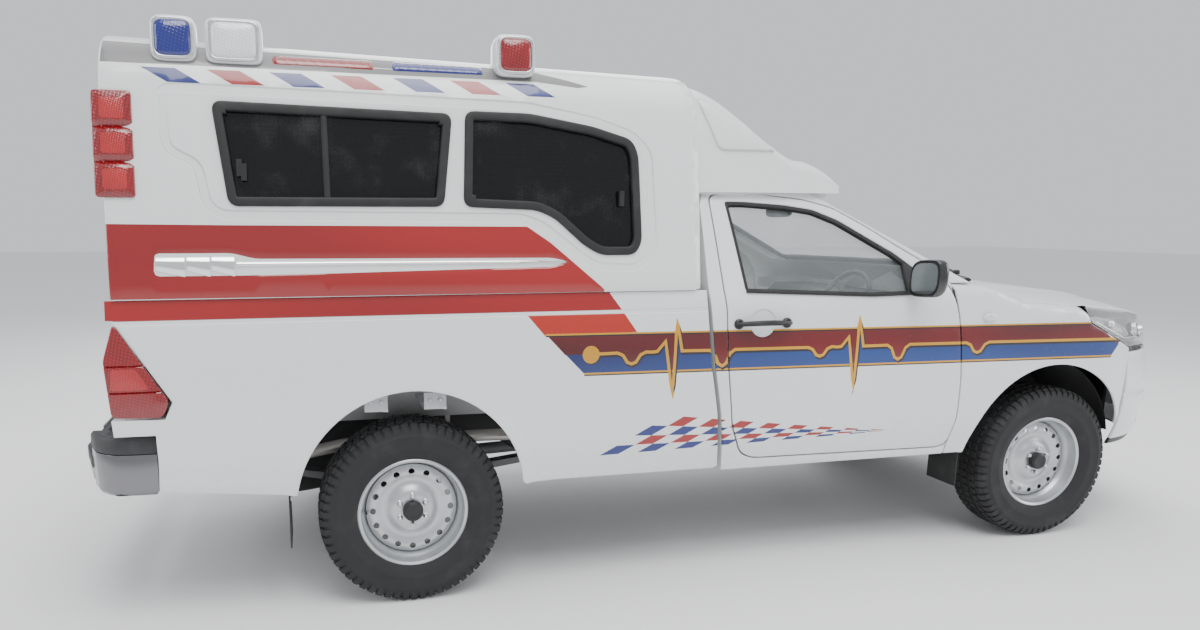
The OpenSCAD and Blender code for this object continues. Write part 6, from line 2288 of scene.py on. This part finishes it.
@dataclass
class Wheels:
    """Tyres with tread blocks, pierced steel rims, studs and caps."""

    tread_count: int = 62
    vents: int = 16
    studs: int = 6
    bead: float = 0.2155

    def build(self, f: Finishes, repeater: Repeater) -> None:
        """Makes the four wheels.

        Args:
            f: The vehicle's finishes.
            repeater: Repeats small pieces.
        """
        tyre, tread = self._tyre(), self._tread(f, repeater)
        rim, dark, studs = self._rim(), self._cap(), self._studs(f, repeater)
        for end in ("front", "rear"):
            for side, turn in (("left", 1), ("right", -1)):
                name = end + "_" + side
                low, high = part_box("tyre_" + name)
                centre = Vector((low + high) / 2)
                body = "wheel_" + name

                def placed(shape: Shape) -> Shape:
                    """The shape at this wheel, with its outside outwards."""
                    out = Shape()
                    out.join(shape)
                    out.points = [(x * turn + centre.x, y * turn + centre.y, z + centre.z)
                                  for x, y, z in shape.points]
                    return out
                finish_piece("tyre_body_" + name, placed(tyre), [f.rubber], body,
                             ["tyre_" + name], rounding=Rounding.SOFT)
                finish_piece("tyre_tread_" + name, placed(tread), [f.rubber], body)
                finish_piece("rim_" + name, placed(rim), [f.silver], body, ["rim_" + name],
                             rounding=Rounding.SOFT)
                finish_piece("cap_" + name, placed(dark), [f.black], body)
                finish_piece("studs_" + name, placed(studs), [f.satin], body)

    def _tyre(self) -> Shape:
        """The tyre's carcass with side-wall rings, as a turned body about the Y axis."""
        b, out = self.bead, AXLE_Z - 0.008
        w = 0.111
        half = [(b, w * 0.72), (b + 0.012, w * 0.80), (b + 0.030, w * 0.90), (b + 0.050, w * 0.955),
                (b + 0.056, w * 0.972), (b + 0.061, w * 0.960), (b + 0.078, w * 0.985), (b + 0.100, w * 0.98),
                (b + 0.104, w * 0.995), (b + 0.108, w * 0.98), (out - 0.030, w * 0.93), (out - 0.012,
                                                                                         w * 0.84),
                (out - 0.003, w * 0.72), (out, w * 0.55)]
        profile = [(r, -h) for r, h in half] + [(r, h) for r, h in reversed(half)]
        shape = Shape()
        shape.lathe(profile, Matrix.Rotation(-math.pi / 2, 4, "X"), 96)
        return shape

    def _tread(self, f: Finishes, repeater: Repeater) -> Shape:
        """One pitch of shoulder and middle blocks, repeated round the tyre."""
        out = AXLE_Z
        pitch = 2 * math.pi * out / self.tread_count
        piece = Shape()

        def block(y0: float, y1: float, start: float, size: float, skew: float, drop: float = 0.0) -> None:
            """A tapered block on the tyre's face."""
            rows = []
            for r, inset in ((out - 0.014, -0.0015), (out - 0.002 - drop, 0.0), (out - drop, 0.0015)):
                ring = [(y0 + inset, start + inset), (y1 - inset, start + inset + skew),
                        (y1 - inset, start + size - inset + skew), (y0 + inset, start + size - inset)]
                rows.append([Vector((a, y, r)) for y, a in ring])
            piece.loft(rows)
        for k in (1, -1):
            block(min(k * 0.062, k * 0.088), max(k * 0.062, k * 0.088), -pitch / 2, pitch * 0.70, 0.0, 0.004)
            block(min(k * 0.034, k * 0.056), max(k * 0.034, k * 0.056), -pitch * 0.3, pitch * 0.74, k * 0.006)
        block(-0.012, 0.012, -pitch * 0.45, pitch * 0.78, 0.005)
        for k in (1, -1):
            rows = []
            for r, y, inset in ((out - 0.050, 0.1035, 0.001), (out - 0.050, 0.1068, 0.002),
                                (out - 0.020, 0.1015, 0.002), (out - 0.010, 0.0915, 0.002)):
                rows.append([Vector((-pitch / 2 + inset, k * y, r)), Vector((pitch * 0.16, k * y, r)),
                             Vector((pitch * 0.16, k * (y - 0.014), r - 0.004)),
                             Vector((-pitch / 2 + inset, k * (y - 0.014), r - 0.004))])
            piece.loft(rows)
        return repeater.make(piece, self.tread_count, f.rubber, 0,
                             turn=(0, 2 * math.pi / self.tread_count, 0))

    def _dish(self, p: Points) -> Points:
        """The wheel disc's face: a flat ring with the vents, a deeper bowl and a raised hub."""
        r = np.hypot(p[:, 0], p[:, 1])
        out = np.interp(r, [0.0, 0.070, 0.082, 0.100, 0.118, 0.135, 0.150, 0.172, 0.184],
                        [0.050, 0.050, 0.046, 0.028, 0.020, 0.026, 0.036, 0.034, 0.022])
        return np.stack([p[:, 0], out, p[:, 1]], 1)

    def _rim(self) -> Shape:
        """The rim's barrel and its pierced disc."""
        seat, well, half = self.bead - 0.0004, 0.184, 0.079
        shape = Shape()
        profile = [(seat - 0.004, -half), (seat, -half), (seat, -half + 0.034), (well + 0.006, -half + 0.054),
                   (well + 0.006, 0.012), (seat, 0.036), (seat, half - 0.004), (seat + 0.008, half + 0.001),
                   (seat + 0.010, half + 0.006), (seat + 0.004, half + 0.010), (seat - 0.006, half + 0.004),
                   (seat - 0.008, 0.046), (seat - 0.014, 0.036), (well, 0.014), (well, -half + 0.054),
                   (seat - 0.006, -half + 0.030)]
        shape.lathe(profile, Matrix.Rotation(-math.pi / 2, 4, "X"), 96)
        edge = arc((0, 0, 0.1855), 0, 355, 72)
        holes = []
        for k in range(self.vents):
            a = 2 * math.pi * k / self.vents
            hole = arc((0, 0, 0.0125), 0, 337.5, 16) 
            turned = hole @ np.array([[math.cos(a), math.sin(a)], [-math.sin(a), math.cos(a)]])
            holes.append(turned + [0.158 * math.cos(a), 0.158 * math.sin(a)])
        Skin("disc", edge, self._dish, holes=holes, thickness=0.006, edge=0.002, gap=0.016,
             centre=(0, -5.0, 0)).cut(shape)
        return shape

    def _cap(self) -> Shape:
        """The black hub cap and the tyre valve."""
        shape = Shape()
        face = Matrix.Rotation(-math.pi / 2, 4, "X")
        shape.disc([(0, 0.045), (0.040, 0.045), (0.042, 0.060), (0.040, 0.074), (0.030, 0.080),
                    (0.020, 0.078),
                    (0, 0.078)], face, 40)
        valve = Matrix.Translation((0.186, 0, 0.0)) @ face
        shape.disc([(0, 0.030), (0.004, 0.030), (0.004, 0.058), (0.003, 0.061), (0, 0.061)], valve, 12)
        return shape

    def _studs(self, f: Finishes, repeater: Repeater) -> Shape:
        """Wheel nuts on their pitch circle."""
        nut = Shape()
        place = Matrix.Translation((0.0, 0, 0.0605)) @ Matrix.Rotation(-math.pi / 2, 4, "X")
        nut.disc([(0, 0.046), (0.013, 0.046), (0.013, 0.050), (0.0095, 0.053), (0.0095, 0.066),
                  (0.006, 0.070),
                  (0, 0.071)], place, 12)
        return repeater.make(nut, self.studs, f.satin, 0, turn=(0, 2 * math.pi / self.studs, 0))


@dataclass
class Upholstery:
    """Padded seats and the attendant's bench, filled by a cloth simulation."""

    voxel: float = 0.012
    pressure: float = 4.0
    cap: float = 0.012
    frames: int = 20

    def build(self, f: Finishes) -> None:
        """Makes both seats and the bench."""
        for side, name in ((1, "left"), (-1, "right")):
            self._seat(side * 0.365, name, f)
        self._bench(f)

    def _seat(self, y: float, name: str, f: Finishes) -> None:
        """One seat: plinth, cushion, back and headrest."""
        cushion = Matrix.Translation((FRONT_X - 1.245, y, 0.868)) @ Matrix.Rotation(math.radians(-3), 4, "Y")
        self.pad("seat_cushion_" + name, 0.225, 0.235, 0.115, cushion, f.fabric, (-0.13, 0.13), ["seats"])
        back = Matrix.Translation((FRONT_X - 1.610, y, 1.135)) @ Matrix.Rotation(math.radians(75), 4, "Y")
        self.pad("seat_back_" + name, 0.270, 0.225, 0.095, back, f.fabric, (-0.13, 0.13), ["seats"])
        head = Matrix.Translation((FRONT_X - 1.712, y, 1.500)) @ Matrix.Rotation(math.radians(80), 4, "Y")
        self.pad("headrest_" + name, 0.070, 0.110, 0.055, head, f.fabric, (), ["seats"])
        plinth = Shape()
        plinth.block((FRONT_X - 1.50, y - 0.20, 0.592), (FRONT_X - 1.04, y + 0.20, 0.806))
        for s in (1, -1):
            plinth.tube([Vector((FRONT_X - 1.690, y + s * 0.055, 1.38)),
                         Vector((FRONT_X - 1.706, y + s * 0.055, 1.46))],
                        0.006, 10)
        finish_piece("seat_plinth_" + name, plinth, [f.grained], "body", ["seats"],
                     bevel=0.012)

    def _bench(self, f: Finishes) -> None:
        """The bench: a locker with a vinyl pad on it.

        Args:
            f: The vehicle's finishes.
        """
        locker = Shape()
        locker.block((REAR_X - 0.497, 0.203, 0.737), (REAR_X + 0.647, 0.541, 1.035))
        finish_piece("bench_locker", locker, [f.lining], "body", ["attendant_bench"],
                     bevel=0.010)
        place = Matrix.Translation((REAR_X + 0.075, 0.373, 1.075))
        self.pad("bench_pad", 0.555, 0.158, 0.070, place, f.vinyl, (), ["attendant_bench"])

    def pad(self, name: str, long: float, wide: float, thick: float, place: Matrix,
            finish: bpy.types.Material, seams: Sequence[float], stands_for: Sequence[str]) -> None:
        """A padded slab, swollen by its filling and drawn in along its seams.

        Args:
            name: The piece's name.
            long: Half its length, along its own X.
            wide: Half its width, along its own Y.
            thick: Its thickness.
            place: Where it stands.
            finish: Its covering.
            seams: Where its seams lie across its width.
            stands_for: CAD nodes that it replaces.
        """
        shape = Shape()
        shape.loft([[place @ Vector((a * size, b * size, t * thick)) for a, b in loop_of(long, wide, 0.4, 64)]
                    for t, size in ((-0.5, 0.88), (-0.4, 0.96), (-0.15, 1.0), (0.15, 1.0), (0.4, 0.96),
                                    (0.5, 0.88))])
        piece = finish_piece(name, shape, [finish], "body", stands_for, rounding=Rounding.SOFT)
        self._fill(piece)
        self._stitch(piece, place.inverted(), seams)

    def _fill(self, piece: bpy.types.Object) -> None:
        """Remeshes a pad and swells it with a cloth simulation."""
        remesh = piece.modifiers.new("even_mesh", "REMESH")
        remesh.mode = "VOXEL"
        remesh.voxel_size = self.voxel
        bake_modifiers(piece)
        rest = [v.co.copy() for v in piece.data.vertices]
        cloth = piece.modifiers.new("filling", "CLOTH")
        cloth.settings.use_pressure = True
        cloth.settings.uniform_pressure_force = self.pressure
        cloth.settings.effector_weights.gravity = 0.0
        for step in range(1, self.frames + 1):
            bpy.context.scene.frame_set(step)
        swollen = piece.evaluated_get(bpy.context.evaluated_depsgraph_get())
        for v, start, end in zip(piece.data.vertices, rest, [p.co.copy() for p in swollen.data.vertices]):
            move = end - start
            v.co = start + move * min(1.0, self.cap / max(move.length, 1e-9))
        piece.modifiers.remove(cloth)
        bpy.context.scene.frame_set(1)
        finer = piece.modifiers.new("finer", "SUBSURF")
        finer.levels = 1
        finer.render_levels = 1
        bake_modifiers(piece)
        piece.data.shade_smooth()

    def _stitch(self, piece: bpy.types.Object, local: Matrix, seams: Sequence[float]) -> None:
        """Draws the covering in along its seams."""
        back = local.inverted()
        for v in piece.data.vertices:
            at = local @ v.co
            pull = sum(math.exp(-((at.y - seam) / 0.007) ** 2) for seam in seams)
            at.z -= math.copysign(0.006 * min(pull, 1.0), at.z)
            v.co = back @ at


@dataclass
class CabFittings:
    """Steering wheel and rear-view mirror."""

    wheel_r: float = 0.176
    grip: float = 0.0135

    def build(self, f: Finishes) -> None:
        """Makes the fittings.

        Args:
            f: The vehicle's finishes.
        """
        foot = Vector((FRONT_X - 0.560, -0.370, 0.985))
        along = Vector((-0.906, 0, 0.423))
        place = Matrix.Translation(foot + along * 0.324) @ along.to_track_quat("Z", "Y").to_matrix().to_4x4()
        wheel = Shape()
        ring = [place @ Vector((self.wheel_r * math.cos(a), self.wheel_r * math.sin(a), 0))
                for a in np.linspace(0, 2 * math.pi, 64, endpoint=False)]
        wheel.tube(ring, self.grip, 12, closed=True)
        for turn in (0, 130, 230):
            a = math.radians(turn)
            arm = [place @ Vector((r * math.cos(a), r * math.sin(a), z))
                   for r, z in ((0.03, -0.012), (0.08, -0.012), (0.13, -0.006), (self.wheel_r, 0.0))]
            wheel.tube(arm, [0.020, 0.018, 0.014, 0.010], 10, flat=0.5)
        wheel.disc([(0, -0.034), (0.046, -0.034), (0.060, -0.020), (0.062, 0.0), (0.050, 0.010),
                    (0.025, 0.015),
                    (0, 0.016)], place, 40)
        finish_piece("steering_wheel_rim", wheel, [f.grained], "steering_wheel",
                     ["steering_wheel"], rounding=Rounding.SOFT)
        mirror = Shape()
        x = float(screen_x(np.array(0.0), np.array(1.60)))
        rows = [[Vector((x - 0.075 + d, a * s, 1.585 + b * s)) for a, b in loop_of(0.115, 0.032, 0.55, 40)]
                for d, s in ((-0.014, 0.93), (-0.010, 1.0), (0.006, 1.0), (0.016, 0.8), (0.020, 0.4))]
        mirror.loft(rows)
        mirror.tube([Vector((x - 0.062, 0, 1.60)), Vector((x - 0.035, 0, 1.625)),
                     Vector((x - 0.016, 0, 1.640))],
                    0.008, 10)
        finish_piece("cab_mirror", mirror, [f.black], "body")


@dataclass
class Underbody:
    """Finishes for the frame, axles, springs and driveline, and the tailpipe's tip."""

    tip_r: float = 0.027

    def build(self, f: Finishes) -> None:
        """Dresses what is carried over and adds the tip and the flaps' clamps.

        Args:
            f: The vehicle's finishes.
        """
        for node, finish in (("chassis_frame", f.frame), ("front_structure", f.frame),
                             ("dashboard", f.grained),
                             ("engine_block", f.cast), ("rear_axle", f.cast), ("leaf_springs", f.cast),
                             ("front_suspension", f.frame), ("exhaust", f.steel), ("fuel_tank", f.black),
                             ("prop_shafts", f.cast), ("mud_flaps", f.flap), ("spare_wheel", f.rubber),
                             ("knuckle_left", f.cast), ("knuckle_right", f.cast)):
            dress(node, finish)
        tip = Shape()
        line = [Vector((REAR_X + x, y, 0.507)) for x, y in ((-0.790, -0.592), (-0.840, -0.617),
                                                            (-0.884, -0.642))]
        tip.tube(line, self.tip_r, 28)
        finish_piece("exhaust_tip", tip, [f.satin], "body", rounding=Rounding.SOFT)
        clamps = Shape()
        for x, z in ((REAR_X - 0.480, 0.470), (FRONT_X - 0.500, 0.442)):
            clamps.block((x + 0.0035, HALF_W - 0.240, z - 0.012), (x + 0.008, HALF_W - 0.068, z + 0.006))
        finish_piece("flap_clamps", clamps.both_sides(), [f.satin], "body", bevel=0.001)


def set_camera() -> None:
    """Places the camera and frames the vehicle from its right side, a little above the wheels."""
    data = bpy.data.cameras.new("camera")
    data.sensor_width = 36
    data.lens = 24.99
    data.shift_x = 0.0743
    data.shift_y = 0.046
    camera = bpy.data.objects.new("camera", data)
    yaw, pitch, roll = 0.242, -0.178, 0.003
    forward = Vector((math.sin(yaw) * math.cos(pitch), math.cos(yaw) * math.cos(pitch), math.sin(pitch)))
    turn = forward.to_track_quat("-Z", "Y").to_matrix().to_4x4() @ Matrix.Rotation(roll, 4, "Z")
    camera.matrix_world = Matrix.Translation((REAR_X - 0.389, -4.038, 1.533)) @ turn
    bpy.context.scene.collection.objects.link(camera)
    bpy.context.scene.camera = camera


def set_studio() -> None:
    """A pale floor and soft lights from above and both sides."""
    floor_mesh = bpy.data.meshes.new("studio_floor")
    floor_mesh.from_pydata([(-40, -40, 0), (40, -40, 0), (40, 40, 0), (-40, 40, 0)], [], [(0, 1, 2, 3)])
    floor = bpy.data.objects.new("studio_floor", floor_mesh)
    bpy.context.scene.collection.objects.link(floor)
    paint = bpy.data.materials.new("studio_floor")
    paint.use_nodes = True
    paint.node_tree.nodes["Principled BSDF"].inputs["Base Color"].default_value = (0.86, 0.86, 0.86, 1)
    paint.node_tree.nodes["Principled BSDF"].inputs["Roughness"].default_value = 0.9
    floor_mesh.materials.append(paint)
    world = bpy.data.worlds.new("studio")
    bpy.context.scene.world = world
    world.use_nodes = True
    world.node_tree.nodes["Background"].inputs[0].default_value = (0.93, 0.95, 1.0, 1)
    world.node_tree.nodes["Background"].inputs[1].default_value = 0.85
    for name, place, aim, size, power in (
            ("key", (-1.0, -5.0, 9.0), (0, 0, 0.8), 5.0, 520),
            ("fill", (1.0, 7.0, 5.0), (0, 0, 0.9), 6.0, 300),
            ("roof", (0.0, -0.5, 7.0), (0, 0, 0), 7.0, 250),
            ("front", (8.0, -3.0, 3.5), (1, 0, 0.9), 4.0, 170),
            ("rear", (-8.0, -1.0, 3.5), (-1, 0, 0.9), 4.0, 150)):
        light = bpy.data.lights.new(name, "AREA")
        light.size = size
        light.energy = power
        lamp = bpy.data.objects.new(name, light)
        lamp.location = place
        lamp.rotation_euler = (Vector(aim) - Vector(place)).to_track_quat("-Z", "Y").to_euler()
        bpy.context.scene.collection.objects.link(lamp)


def main() -> None:
    """Builds the vehicle's pieces in order."""
    logging.basicConfig(level=logging.INFO, format="%(message)s")
    set_camera()
    set_studio()
    f = Finishes()
    livery = Livery()
    repeater = Repeater()
    Bed().build(f, livery)
    Cab().build(f, livery)
    Canopy().build(f, livery)
    RoofLamps().build(f)
    Nose().build(f, livery)
    Tail().build(f, repeater)
    Wheels().build(f, repeater)
    Upholstery().build(f)
    CabFittings().build(f)
    Underbody().build(f)


if __name__ == "__main__":
    main()
